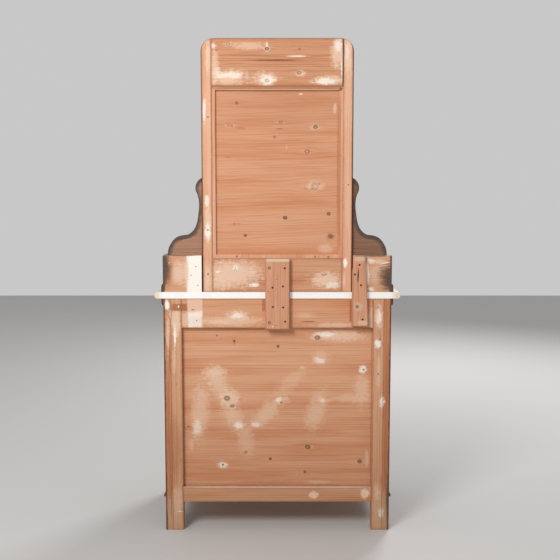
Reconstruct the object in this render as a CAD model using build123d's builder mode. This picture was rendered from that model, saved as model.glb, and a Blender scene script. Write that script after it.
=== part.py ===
from build123d import *
import os
from math import asin, cos, sin

os.makedirs("parts", exist_ok=True)

# Millimetres. +Z is up and the front faces -Y. Left and right are as seen from the front.
# The origin is on the floor, under the middle of the bounding box.

# Base cabinet
base_height = 816
foot_height = 101
front_post_width = 50
front_post_depth = 46
rear_post_width = 38
rear_post_depth = 40
side_thickness = 24
side_stile_depth = 50
side_panel_thickness = 8
side_panel_recess = 10
top_rail_height = 102
bottom_rail_height = 52
back_rail_thickness = 24
back_panel_thickness = 8
back_panel_recess = 16
front_rail_thickness = 22
front_top_rail_height = 22
drawer_rail_height = 22
drawer_opening_height = 88
bottom_board_thickness = 12
shelf_thickness = 14
shelf_top = 400
shelf_setback = 6
cleat_width = 20
cleat_height = 18
runner_thickness = 16
runner_ledge = 48
guide_height = 20
board_edge = 1.2
joint_line = 0.1

# Marble worktop, which sets the width and the depth of the base below it
marble_width = 838
marble_depth = 484
marble_thickness = 22
marble_side_overhang = 29
marble_front_overhang = 34
marble_edge_radius = 8
marble_corner_radius = 22

# Mouldings
cornice_height = 23
cornice_projection = 6
bead_height = 12
bead_projection = 5
bead_bottom = 120
plinth_height = 27
plinth_projection = 6
mitre_kerf = 0.2

# Drawer boxes on the worktop
box_height = 125
box_depth = 215
box_back_thickness = 12
box_side_thickness = 12
box_top_thickness = 14
box_top_overhang = 5
box_corner_radius = 3

# Mirror
mirror_width = 513
mirror_height = 851
mirror_corner_radius = 44
walnut_frame_thickness = 26
walnut_stile_width = 52.5
walnut_bottom_rail_height = 132
walnut_top_rail_height = 178
opening_corner_radius = 40
opening_bevel = 5
pine_frame_thickness = 20
pine_inset = 4.5
pine_stile_width = 32
pine_board_height = 116
pine_rail_height = 156
rail_shrinkage_gap = 2
glass_thickness = 5
mirror_back_thickness = 5
glass_clearance = 1
bead_strip_width = 12
bead_strip_thickness = 7
box_gap = 1.0

# Scroll brackets
bracket_height = 262
bracket_reach = 117
bracket_lobe = 21.5
bracket_lobe_height = 45
bracket_waist = 9.5
bracket_thickness = 20
bracket_setback = 15

# Battens that tie the upper part to the base, and their sunk screws
batten_thickness = 18
batten_bevel = 2.5
middle_batten_width = 83
middle_batten_shift = -1
middle_batten_rise = 114
middle_batten_drop = 125.5
middle_batten_top_bevel = 9
left_batten_foot_width = 56
left_batten_head_width = 44
left_batten_rise = 125
left_batten_drop = 117
left_batten_lap = 2.5
left_corner_width = 11
left_corner_height = 54
screw_head_radius = 3.4
screw_head_height = 2.2
screw_shank_radius = 1.9
screw_tip_cover = 0.8
screw_sink = 3
screw_clearance = 0.3
slot_width = 1
slot_depth = 0.9
middle_screws = [(-27, 84), (25, 83), (-16, 17), (19, 21), (-15, -49), (20, -51), (-27, -103), (27, -99)]
left_screws = [(24, 94), (9, 62), (30, 25), (17, -48), (36, -92)]

# Frieze drawer
drawer_gap = 1.5
drawer_front_thickness = 20
drawer_back_clearance = 20
drawer_side_thickness = 10
drawer_side_height = 72
drawer_bottom_thickness = 6
drawer_bottom_rise = 6
knob_radius = 14
knob_length = 26
knob_neck_radius = 6
knob_base_radius = 10
knob_spacing = 340

# Doors
door_gap = 1.5
meeting_gap = 2
door_thickness = 20
door_stile_width = 56
door_rail_width = 62
door_panel_thickness = 8
door_panel_recess = 8
door_field_border = 32
door_field_height = 5

# Butt hinges
hinge_height = 50
hinge_inset = 70
leaf_width = 16
leaf_thickness = 1.5
leaf_clearance = 0.15
knuckle_radius = 3.6
knuckle_length = 16
knuckle_standoff = 0.3
knuckle_gap = 0.2
pin_radius = 1.8
pin_clearance = 0.05
pin_cap_height = 2

# Rim lock on the right door, its key, and the flush bolt in the left door
lock_height = 455
lock_width = 44
lock_case_height = 56
lock_depth = 12
lock_wall = 1.5
lock_edge_gap = 1
escutcheon_radius = 13
escutcheon_thickness = 1.2
key_drop = 8
key_inset = 22
key_shank_radius = 2.5
key_clearance = 0.3
key_stand_out = 8
key_bow_radius = 10
key_bow_wall = 3.5
key_bow_thickness = 3
key_bit_length = 9
key_bit_thickness = 2
key_bit_depth = 5
lock_bolt_length = 34
lock_bolt_height = 10
lock_bolt_thickness = 5
lock_bolt_rise = 6
lock_bolt_throw = 8
flush_bolt_width = 12
flush_bolt_length = 90
flush_bolt_thickness = 5
flush_bolt_inset = 28
flush_bolt_throw = 10
flush_bolt_stud_radius = 3
flush_bolt_stud_length = 6

# Small drawers in the boxes
small_gap = 1
small_front_thickness = 14
small_drawer_back_clearance = 19
small_wall = 8
small_floor = 6
small_side_height = 66
small_knob_radius = 8
small_knob_length = 18
small_knob_neck_radius = 4
small_knob_base_radius = 6

# Planes and spans that the pieces share
overall_depth = marble_depth + batten_thickness
rear = overall_depth / 2 - batten_thickness
front = rear - marble_depth + marble_front_overhang
batten_face = rear + batten_thickness
half_base = marble_width / 2 - marble_side_overhang
worktop = base_height + marble_thickness
box_top = worktop + box_height
front_opening = half_base - front_post_width
side_inner = half_base - side_thickness
rear_post_inner = side_inner - rear_post_width
post_back = front + front_post_depth
rear_post_front = rear - rear_post_depth
side_stile_front = rear - side_stile_depth
front_rail_back = front + front_rail_thickness
back_rail_front = rear - back_rail_thickness
panel_bottom = foot_height + bottom_rail_height
panel_top = base_height - top_rail_height
drawer_opening_top = base_height - front_top_rail_height
drawer_floor = drawer_opening_top - drawer_opening_height
door_opening_top = drawer_floor - drawer_rail_height
half_mirror = mirror_width / 2
mirror_top = worktop + mirror_height
pine_front = rear - pine_frame_thickness
pine_half = half_mirror - pine_inset
pine_opening = pine_half - pine_stile_width
pine_board_top = worktop + pine_board_height
pine_top = mirror_top - pine_inset
pine_rail_bottom = pine_top - pine_rail_height
walnut_front = pine_front - walnut_frame_thickness
walnut_opening = half_mirror - walnut_stile_width
opening_bottom = worktop + walnut_bottom_rail_height
opening_top = mirror_top - walnut_top_rail_height
box_inner = half_mirror + box_gap
box_front = rear - box_depth
box_floor = worktop + plinth_height
box_ceiling = box_top - box_top_thickness
door_bottom = panel_bottom + door_gap
door_top = door_opening_top - door_gap
door_back = front + door_thickness
door_outer = front_opening - door_gap
door_inner = meeting_gap / 2


def middle(span):
    """The middle of a span given by its two ends."""
    return (span[0] + span[1]) / 2


def length(span):
    """The length of a span given by its two ends."""
    return abs(span[1] - span[0])


def sided(side, low, high):
    """A span of X on the left (side -1) or on the right (side 1)."""
    return (side * low, side * high)


def board(x, y, z, mode=Mode.ADD):
    """A square-edged board that fills three spans, in the part being built."""
    with Locations((middle(x), middle(y), middle(z))):
        Box(length(x), length(y), length(z), mode=mode)


def roomy(span, gap):
    """A span made longer by a gap at both ends."""
    return (min(span) - gap, max(span) + gap)


def upright(y):
    """The upright plane at depth y, drawn in X and Z; an extrusion from it comes forward."""
    return Plane.XZ.offset(-y)


def ease(part, axis, radius=board_edge):
    """Round the long edges of the part being built that run along an axis."""
    fillet(part.edges().filter_by(axis), radius=radius)


def save(piece, name):
    """Label a finished piece and write it to its own file."""
    piece.label = name
    export_step(piece, f"parts/{name}.step")


def post_footprints(z, mode=Mode.SUBTRACT):
    """The four corner posts between two heights, as cut out of the boards that go round them."""
    for side in (-1, 1):
        board(sided(side, front_opening, half_base), (front, post_back), z, mode)
        board(sided(side, rear_post_inner, side_inner), (rear_post_front, rear), z, mode)


# Places of the battens' sunk screws, as X and Z on the rear face

left_batten_inner = -half_mirror + left_batten_lap
middle_screw_places = []
for across, above in middle_screws:
    middle_screw_places.append((-across, worktop + above))
left_screw_places = []
for across, above in left_screws:
    left_screw_places.append((left_batten_inner - across, worktop + above))
screw_places = middle_screw_places + left_screw_places
screw_top = batten_face - screw_sink
shank_end = rear - box_back_thickness + screw_tip_cover
screw_length = screw_top - screw_head_height - shank_end


def bore_for_screws(places, start):
    """Shank holes from the depth start back to the tips of the screws."""
    for x, z in places:
        with Locations((x, (start + shank_end) / 2, z)):
            Cylinder(screw_shank_radius + screw_clearance, start - shank_end, rotation=(90, 0, 0),
                     mode=Mode.SUBTRACT)


def bore_for_heads(places):
    """Wider holes in a batten's rear face, in which the screw heads lie sunk."""
    depth = screw_sink + screw_head_height
    for x, z in places:
        with Locations((x, batten_face - depth / 2, z)):
            Cylinder(screw_head_radius + screw_clearance, depth, rotation=(90, 0, 0), mode=Mode.SUBTRACT)


# Base cabinet: posts, side frames and rails

hinge_heights = (door_bottom + hinge_inset, door_top - hinge_inset)
hinge_x = front_opening - door_gap / 2
hinge_y = front - knuckle_radius - knuckle_standoff


def post_leaf_span(side):
    """X span of the hinge leaf that is let into the front post."""
    return sided(side, hinge_x + leaf_clearance, hinge_x + leaf_clearance + leaf_thickness)


def door_leaf_span(side):
    """X span of the hinge leaf that is let into the door's edge."""
    return sided(side, hinge_x - leaf_clearance - leaf_thickness, hinge_x - leaf_clearance)


for side, name in ((-1, "front_post_left"), (1, "front_post_right")):
    with BuildPart() as front_post:
        board(sided(side, front_opening, half_base), (front, post_back), (0, base_height))
        ease(front_post, Axis.Z)
        for height in hinge_heights:
            leaf_height = (height - hinge_height / 2, height + hinge_height / 2)
            board(post_leaf_span(side), (front, front + leaf_width), leaf_height, Mode.SUBTRACT)
    save(front_post.part, name)

for side, name in ((-1, "rear_post_left"), (1, "rear_post_right")):
    with BuildPart() as rear_post:
        board(sided(side, rear_post_inner, side_inner), (rear_post_front, rear), (0, base_height))
        ease(rear_post, Axis.Z)
        bore_for_screws(screw_places, rear)
    save(rear_post.part, name)

with BuildPart() as side_stiles:
    for side in (-1, 1):
        board(sided(side, side_inner, half_base), (side_stile_front, rear), (0, base_height))
    ease(side_stiles, Axis.Z)
save(side_stiles.part, "side_stiles")

side_run = (post_back, side_stile_front)
with BuildPart() as side_rails:
    for side in (-1, 1):
        board(sided(side, side_inner, half_base), side_run, (panel_top, base_height))
        board(sided(side, side_inner, half_base), side_run, (foot_height, panel_bottom))
    ease(side_rails, Axis.Y)
save(side_rails.part, "side_rails")

side_panel_outer = half_base - side_panel_recess
side_panel_inner = side_panel_outer - side_panel_thickness
with BuildPart() as side_panels:
    for side in (-1, 1):
        board(sided(side, side_panel_inner, side_panel_outer), side_run, (panel_bottom, panel_top))
save(side_panels.part, "side_panels")

flush_bolt_span = (-door_inner - flush_bolt_inset - flush_bolt_width, -door_inner - flush_bolt_inset)
flush_bolt_depth = (door_back - flush_bolt_thickness, door_back)

rail_run = (-front_opening + joint_line, front_opening - joint_line)
with BuildPart() as front_rails:
    board(rail_run, (front, front_rail_back), (drawer_opening_top, base_height))
    board(rail_run, (front, front_rail_back), (door_opening_top, drawer_floor))
    board(rail_run, (front, front_rail_back), (foot_height, panel_bottom))
    ease(front_rails, Axis.X)
    # socket for the flush bolt of the left door
    bolt_socket = (door_opening_top - board_edge, door_opening_top + flush_bolt_throw + key_clearance)
    board(roomy(flush_bolt_span, key_clearance), roomy(flush_bolt_depth, key_clearance), bolt_socket,
          Mode.SUBTRACT)
save(front_rails.part, "front_rails")

# Battens that tie the mirror and the boxes to the base, and their screws

with BuildPart() as batten_middle:
    board(roomy((middle_batten_shift, middle_batten_shift), middle_batten_width / 2), (rear, batten_face),
          (worktop - middle_batten_drop, worktop + middle_batten_rise))
    batten_back = batten_middle.faces().sort_by(Axis.Y)[-1]
    chamfer(batten_back.edges().sort_by(Axis.Z)[-1], length=middle_batten_top_bevel,
            length2=batten_thickness / 3)
    batten_back = batten_middle.faces().sort_by(Axis.Y)[-1]
    chamfer(batten_back.edges().filter_by(Axis.Z), length=batten_bevel)
    bore_for_screws(middle_screw_places, batten_face)
    bore_for_heads(middle_screw_places)
save(batten_middle.part, "batten_middle")

left_batten_foot = worktop - left_batten_drop
left_batten_head = worktop + left_batten_rise
with BuildPart() as batten_left:
    with BuildSketch(upright(batten_face)):
        # it tapers upwards, and its top corner towards the mirror is sawn off at a slant
        Polygon((left_batten_inner, left_batten_foot),
                (left_batten_inner - left_batten_foot_width, left_batten_foot),
                (left_batten_inner - left_batten_head_width, left_batten_head),
                (left_batten_inner - left_corner_width, left_batten_head),
                (left_batten_inner, left_batten_head - left_corner_height), align=None)
    extrude(amount=batten_thickness)
    chamfer(batten_left.faces().sort_by(Axis.Y)[-1].edges(), length=batten_bevel)
    bore_for_screws(left_screw_places, batten_face)
    bore_for_heads(left_screw_places)
save(batten_left.part, "batten_left")

with BuildPart() as batten_screws:
    for x, z in screw_places:
        with Locations((x, screw_top - screw_head_height / 2, z)):
            Cylinder(screw_head_radius, screw_head_height, rotation=(90, 0, 0))
        with Locations((x, screw_top - screw_head_height - screw_length / 2, z)):
            Cylinder(screw_shank_radius, screw_length, rotation=(90, 0, 0))
        with Locations(Location((x, screw_top - slot_depth / 2, z), (0, 30 + x, 0))):
            Box(2 * screw_head_radius, slot_depth, slot_width, mode=Mode.SUBTRACT)
save(batten_screws.part, "batten_screws")

# Back of the base: rails and the sunk panel

back_run = (-rear_post_inner, rear_post_inner)
with BuildPart() as back_top_rail:
    board(back_run, (back_rail_front, rear), (panel_top, base_height))
    ease(back_top_rail, Axis.X)
    bore_for_screws(screw_places, rear)
save(back_top_rail.part, "back_top_rail")

with BuildPart() as back_bottom_rail:
    board(back_run, (back_rail_front, rear), (foot_height, panel_bottom))
    ease(back_bottom_rail, Axis.X)
save(back_bottom_rail.part, "back_bottom_rail")

back_panel_rear = rear - back_panel_recess
with BuildPart() as back_panel:
    board(back_run, (back_panel_rear - back_panel_thickness, back_panel_rear), (panel_bottom, panel_top))
save(back_panel.part, "back_panel")

# Inside of the base: floor board, shelf on its cleats, and the drawer's runners

inner_run = (-side_inner, side_inner)
with BuildPart() as bottom_board:
    floor_span = (panel_bottom - bottom_board_thickness, panel_bottom)
    board(inner_run, (front_rail_back, back_rail_front), floor_span)
    post_footprints(floor_span)
save(bottom_board.part, "bottom_board")

shelf_span = (shelf_top - shelf_thickness, shelf_top)
shelf_front = door_back + lock_depth + shelf_setback
with BuildPart() as shelf:
    board(inner_run, (shelf_front, back_rail_front), shelf_span)
    post_footprints(shelf_span)
save(shelf.part, "shelf")

with BuildPart() as shelf_cleats:
    for side in (-1, 1):
        board(sided(side, side_panel_inner - cleat_width, side_panel_inner), (post_back, rear_post_front),
              (shelf_span[0] - cleat_height, shelf_span[0]))
        board(sided(side, side_inner, half_base), (side_stile_front, rear),
              (shelf_span[0] - cleat_height, shelf_span[0]), Mode.SUBTRACT)
save(shelf_cleats.part, "shelf_cleats")

with BuildPart() as drawer_runners:
    for side in (-1, 1):
        board(sided(side, side_inner - runner_ledge, side_inner), (post_back, rear_post_front),
              (drawer_floor - runner_thickness, drawer_floor))
        board(sided(side, front_opening, side_inner), (post_back, rear_post_front),
              (drawer_floor - runner_thickness, drawer_floor + guide_height))
save(drawer_runners.part, "drawer_runners")

# Marble worktop: bullnosed at the front and the sides, square at the back

with BuildPart() as marble_top:
    with BuildSketch(Plane.XY.offset(base_height)) as slab:
        with Locations((0, rear - marble_depth / 2)):
            Rectangle(marble_width, marble_depth)
        fillet(slab.vertices().group_by(Axis.Y)[0], radius=marble_corner_radius)
    extrude(amount=marble_thickness)
    rims = marble_top.faces().sort_by(Axis.Z)
    rim_edges = rims[0].edges() + rims[-1].edges()
    fillet(rim_edges.sort_by(Axis.Y)[:-2], radius=marble_edge_radius)
save(marble_top.part, "marble_top")

# Mouldings: one profile swept round each outline, then sawn at the mitres


def moulding_profile(projection, height, wide_end):
    """A flat face that curves in towards one end, drawn outwards from the face it is glued to.

    The wide end is 1 where the moulding is widest at its top and 0 where it is widest below.
    """
    narrow = height * (1 - wide_end)
    wide = height * wide_end
    shoulder = narrow + (wide - narrow) * 0.35
    with BuildSketch(mode=Mode.PRIVATE) as profile:
        with BuildLine():
            Line((0, narrow), (projection * 0.3, narrow))
            Spline((projection * 0.3, narrow), (projection * 0.8, (narrow + shoulder) / 2),
                   (projection, shoulder), tangents=[(1, 0), (0, wide - narrow)])
            Line((projection, shoulder), (projection, wide))
            Line((projection, wide), (0, wide))
            Line((0, wide), (0, narrow))
        make_face()
    return profile.sketch


def saw_mitre(x, y, turn, height):
    """A thin upright saw cut through a corner, turned about Z."""
    with Locations(Location((x, y, height), (0, 0, turn))):
        Box(mitre_reach, mitre_kerf, mitre_reach, mode=Mode.SUBTRACT)


def wrap_three_sides(projection, bottom, height, wide_end):
    """A moulding round the left side, the front and the right side of the base."""
    with BuildPart() as moulding:
        with BuildLine() as outline:
            Polyline((half_base, rear, bottom), (half_base, front, bottom), (-half_base, front, bottom),
                     (-half_base, rear, bottom))
        with BuildSketch(Plane(origin=(half_base, rear, bottom), x_dir=(1, 0, 0), z_dir=(0, -1, 0))):
            add(moulding_profile(projection, height, wide_end))
        sweep(path=outline.line, transition=Transition.RIGHT)
        saw_mitre(half_base, front, -45, bottom)
        saw_mitre(-half_base, front, 45, bottom)
    return moulding.part


mitre_reach = 4 * max(cornice_height, bead_height, plinth_height)
save(wrap_three_sides(cornice_projection, base_height - cornice_height, cornice_height, 1),
     "cornice_mouldings")
save(wrap_three_sides(bead_projection, bead_bottom, bead_height, 0), "base_mouldings")

with BuildPart() as plinth_mouldings:
    for side in (-1, 1):
        with BuildLine() as plinth_line:
            Polyline((side * half_base, rear, worktop), (side * half_base, box_front, worktop),
                     (side * box_inner, box_front, worktop))
        with BuildSketch(Plane(origin=(side * half_base, rear, worktop), x_dir=(side, 0, 0),
                               z_dir=(0, -side, 0))):
            add(moulding_profile(plinth_projection, plinth_height, 0))
        sweep(path=plinth_line.line, transition=Transition.RIGHT)
        saw_mitre(side * half_base, box_front, -45 * side, worktop)
save(plinth_mouldings.part, "plinth_mouldings")

# Drawer boxes on the worktop, on both sides of the mirror

box_back_front = rear - box_back_thickness
with BuildPart() as box_floors:
    for side in (-1, 1):
        board(sided(side, box_inner, half_base), (box_front, box_back_front), (worktop, box_floor))
save(box_floors.part, "box_floors")

with BuildPart() as box_sides:
    for side in (-1, 1):
        for inner in (box_inner, half_base - box_side_thickness):
            board(sided(side, inner, inner + box_side_thickness), (box_front, box_back_front),
                  (box_floor, box_ceiling))
    ease(box_sides, Axis.Z)
save(box_sides.part, "box_sides")

with BuildPart() as box_backs:
    for side in (-1, 1):
        board(sided(side, box_inner, half_base), (box_back_front, rear), (worktop, box_top))
    box_back_edges = box_backs.edges().filter_by(Axis.Y).group_by(Axis.Z)[-1]
    fillet(box_back_edges.group_by(Axis.X)[0], radius=box_corner_radius)
    fillet(box_backs.edges().filter_by(Axis.Y).group_by(Axis.Z)[-1].group_by(Axis.X)[-1],
           radius=box_corner_radius)
    bore_for_screws(screw_places, rear)
save(box_backs.part, "box_backs")

with BuildPart() as box_tops:
    for side in (-1, 1):
        board(sided(side, box_inner, half_base), (box_front - box_top_overhang, box_back_front),
              (box_ceiling, box_top))
    fillet(box_tops.faces().sort_by(Axis.Y)[:2].edges(), radius=board_edge)
save(box_tops.part, "box_tops")

# Mirror: walnut front frame, glass, and the pine frame and panel behind it


def arched(half_width, bottom, top, radius, mode=Mode.ADD):
    """An upright rectangle with its two top corners rounded, in the sketch being built."""
    with BuildSketch(Plane.XY, mode=Mode.PRIVATE) as outline:
        with Locations((0, (bottom + top) / 2)):
            Rectangle(2 * half_width, top - bottom)
        fillet(outline.vertices().group_by(Axis.Y)[-1], radius=radius)
    add(outline.sketch, mode=mode)


def panel_sketch(half_width, bottom, top, mode):
    """A plain upright rectangle about the middle, in the sketch being built."""
    with Locations((0, (bottom + top) / 2)):
        Rectangle(2 * half_width, top - bottom, mode=mode)


with BuildPart() as mirror_stiles:
    with BuildSketch(upright(pine_front)):
        arched(half_mirror, worktop, mirror_top, mirror_corner_radius)
        panel_sketch(walnut_opening, worktop, mirror_top, Mode.SUBTRACT)
    extrude(amount=walnut_frame_thickness)
save(mirror_stiles.part, "mirror_stiles")

walnut_fit = walnut_opening - joint_line
with BuildPart() as mirror_top_rail:
    with BuildSketch(upright(pine_front)):
        panel_sketch(walnut_fit, opening_top - opening_corner_radius, mirror_top, Mode.ADD)
        arched(walnut_fit, opening_bottom, opening_top, opening_corner_radius, Mode.SUBTRACT)
    extrude(amount=walnut_frame_thickness)
    arch_face = mirror_top_rail.faces().sort_by(Axis.Y)[0]
    arch_edges = [edge for edge in arch_face.edges() if edge.center().Z < opening_top + joint_line]
    arch_edges = [edge for edge in arch_edges if abs(edge.center().X) < walnut_fit - joint_line]
    chamfer(arch_edges, length=opening_bevel)
save(mirror_top_rail.part, "mirror_top_rail")

with BuildPart() as mirror_bottom_rail:
    board((-walnut_fit, walnut_fit), (walnut_front, pine_front), (worktop, opening_bottom))
    chamfer(mirror_bottom_rail.edges().filter_by(Axis.X).group_by(Axis.Z)[-1].sort_by(Axis.Y)[0],
            length=opening_bevel)
save(mirror_bottom_rail.part, "mirror_bottom_rail")

glass_half = pine_opening - rail_shrinkage_gap - glass_clearance
glass_span = (pine_board_top, pine_rail_bottom - glass_clearance)
glass_rear = pine_front + glass_thickness
panel_rear = glass_rear + mirror_back_thickness
with BuildPart() as mirror_glass:
    board((-glass_half, glass_half), (pine_front, glass_rear), glass_span)
save(mirror_glass.part, "mirror_glass")

with BuildPart() as mirror_back_panel:
    board((-glass_half, glass_half), (glass_rear, panel_rear), glass_span)
save(mirror_back_panel.part, "mirror_back_panel")

pine_radius = mirror_corner_radius - pine_inset
for side, name in ((-1, "back_stile_left"), (1, "back_stile_right")):
    with BuildPart() as back_stile:
        with BuildSketch(upright(rear)):
            arched(pine_half, worktop, pine_top, pine_radius)
            with Locations((side * (pine_opening + pine_half) / 2, (worktop + pine_top) / 2)):
                Rectangle(pine_stile_width, pine_top - worktop, mode=Mode.INTERSECT)
        extrude(amount=pine_frame_thickness)
        ease(back_stile, Axis.Z)
        bore_for_screws(screw_places, rear)
    save(back_stile.part, name)

with BuildPart() as mirror_back_rail:
    with BuildSketch(upright(rear)):
        arched(pine_half, worktop, pine_top, pine_radius)
        with Locations((rail_shrinkage_gap / 2, (pine_rail_bottom + pine_top) / 2)):
            Rectangle(2 * pine_opening - rail_shrinkage_gap, pine_rail_height, mode=Mode.INTERSECT)
    extrude(amount=pine_frame_thickness)
    ease(mirror_back_rail, Axis.X)
save(mirror_back_rail.part, "mirror_back_rail")

with BuildPart() as mirror_back_board:
    board((-pine_opening, pine_opening), (pine_front, rear), (worktop, pine_board_top))
    ease(mirror_back_board, Axis.X)
    bore_for_screws(screw_places, rear)
save(mirror_back_board.part, "mirror_back_board")

strip_half = pine_opening
strip_span = (pine_board_top, pine_rail_bottom)
with BuildPart() as mirror_beads:
    with BuildSketch(upright(panel_rear + bead_strip_thickness)):
        panel_sketch(strip_half, strip_span[0], strip_span[1], Mode.ADD)
        panel_sketch(strip_half - bead_strip_width, strip_span[0] + bead_strip_width,
                     strip_span[1] - bead_strip_width, Mode.SUBTRACT)
    extrude(amount=bead_strip_thickness)
    for side in (-1, 1):
        for height, turn in ((strip_span[0], 45), (strip_span[1], -45)):
            with Locations(Location((side * strip_half, panel_rear + bead_strip_thickness / 2, height),
                                    (0, side * turn, 0))):
                Box(4 * bead_strip_width, 2 * bead_strip_thickness, mitre_kerf, mode=Mode.SUBTRACT)
save(mirror_beads.part, "mirror_beads")

# Scroll brackets that stand on the boxes against the mirror's sides

bracket_rear = rear - bracket_setback
for side, name in ((-1, "bracket_left"), (1, "bracket_right")):
    with BuildPart() as bracket:
        with BuildSketch(upright(bracket_rear)):
            with Locations((side * half_mirror, box_top)):
                with BuildSketch(mode=Mode.PRIVATE) as scroll:
                    lobe_bottom = bracket_height - bracket_lobe_height
                    shoulder = (side * bracket_reach * 0.42, bracket_height * 0.267)
                    with BuildLine():
                        Line((0, 0), (0, bracket_height))
                        ThreePointArc((0, bracket_height),
                                      (side * bracket_lobe * 0.74, bracket_height - bracket_lobe_height / 3),
                                      (side * bracket_lobe * 0.9, lobe_bottom))
                        Spline((side * bracket_lobe * 0.9, lobe_bottom),
                               (side * bracket_waist, bracket_height * 0.7),
                               (side * bracket_waist * 1.26, bracket_height * 0.53),
                               (side * bracket_reach * 0.205, bracket_height * 0.355),
                               shoulder)
                        Spline(shoulder, (side * bracket_reach * 0.775, bracket_height * 0.224),
                               (side * bracket_reach * 0.95, bracket_height * 0.12),
                               (side * bracket_reach, 0), tangents=[(side, -0.1), (0, -1)])
                        Line((side * bracket_reach, 0), (0, 0))
                    make_face()
                add(scroll.sketch)
        extrude(amount=bracket_thickness)
    save(bracket.part, name)

# Frieze drawer

drawer_half = front_opening - drawer_gap
drawer_front_span = (drawer_floor + drawer_gap, drawer_opening_top - drawer_gap)
drawer_front_back = front + drawer_front_thickness
with BuildPart() as drawer_front:
    board((-drawer_half, drawer_half), (front, drawer_front_back), drawer_front_span)
    fillet(drawer_front.faces().sort_by(Axis.Y)[0].edges(), radius=board_edge)
save(drawer_front.part, "drawer_front")

drawer_run = (drawer_front_back, rear_post_front - drawer_back_clearance)
drawer_inner = drawer_half - drawer_side_thickness
with BuildPart() as drawer_sides:
    for side in (-1, 1):
        board(sided(side, drawer_inner, drawer_half), drawer_run,
              (drawer_floor, drawer_floor + drawer_side_height))
save(drawer_sides.part, "drawer_sides")

drawer_bottom_span = (drawer_floor + drawer_bottom_rise,
                      drawer_floor + drawer_bottom_rise + drawer_bottom_thickness)
with BuildPart() as drawer_bottom:
    board((-drawer_inner, drawer_inner), drawer_run, drawer_bottom_span)
save(drawer_bottom.part, "drawer_bottom")

with BuildPart() as drawer_back:
    board((-drawer_inner, drawer_inner), (drawer_run[1] - drawer_side_thickness, drawer_run[1]),
          (drawer_bottom_span[1], drawer_floor + drawer_side_height))
save(drawer_back.part, "drawer_back")


def turned_knob(x, face, z, radius, neck, base, reach):
    """A turned knob that stands out of the face at depth face, in the part being built."""
    rim = reach * 0.72
    cap = reach - rim
    crown = (radius**2 + cap**2) / (2 * cap)
    half_turn = asin(min(1, radius / crown)) / 2
    with BuildPart(mode=Mode.PRIVATE) as turning:
        with BuildSketch(Plane.XZ):
            with BuildLine():
                Line((0, 0), (base, 0))
                Line((base, 0), (base, reach * 0.1))
                Spline((base, reach * 0.1), (neck, reach * 0.36), (radius, rim))
                ThreePointArc((radius, rim),
                              (crown * sin(half_turn), reach - crown + crown * cos(half_turn)),
                              (0, reach))
                Line((0, reach), (0, 0))
            make_face()
        revolve(axis=Axis.Z)
    with Locations(Location((x, face, z), (90, 0, 0))):
        add(turning.part)


drawer_middle = middle(drawer_front_span)
with BuildPart() as drawer_knobs:
    for side in (-1, 1):
        turned_knob(side * knob_spacing / 2, front, drawer_middle, knob_radius, knob_neck_radius,
                    knob_base_radius, knob_length)
save(drawer_knobs.part, "drawer_knobs")

# Lock places, shared by the right door, the lock case, its bolt and its key

lock_x = (door_inner + lock_edge_gap, door_inner + lock_edge_gap + lock_width)
lock_z = (lock_height - lock_case_height / 2, lock_height + lock_case_height / 2)
lock_back = door_back + lock_depth
key_x = lock_x[0] + key_inset
key_z = lock_height - key_drop
key_hole_radius = key_shank_radius + key_clearance
lock_bolt_z = (lock_height + lock_bolt_rise, lock_height + lock_bolt_rise + lock_bolt_height)
lock_bolt_middle = middle((door_back, lock_back - lock_wall))
lock_bolt_y = (lock_bolt_middle - lock_bolt_thickness / 2, lock_bolt_middle + lock_bolt_thickness / 2)
key_bit_y = (lock_bolt_middle - key_bit_depth / 2, lock_bolt_middle + key_bit_depth / 2)


def cut_keyhole(y):
    """A round hole for the key's shank with a slot below for its bit, through the span y."""
    with Locations((key_x, middle(y), key_z)):
        Cylinder(key_hole_radius, length(y), rotation=(90, 0, 0), mode=Mode.SUBTRACT)
    slot_half = key_bit_thickness / 2 + key_clearance
    board((key_x - slot_half, key_x + slot_half), y, (key_z - key_bit_length - key_clearance, key_z),
          Mode.SUBTRACT)


# Doors: stiles and rails, raised panel, and hinge leaves

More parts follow.
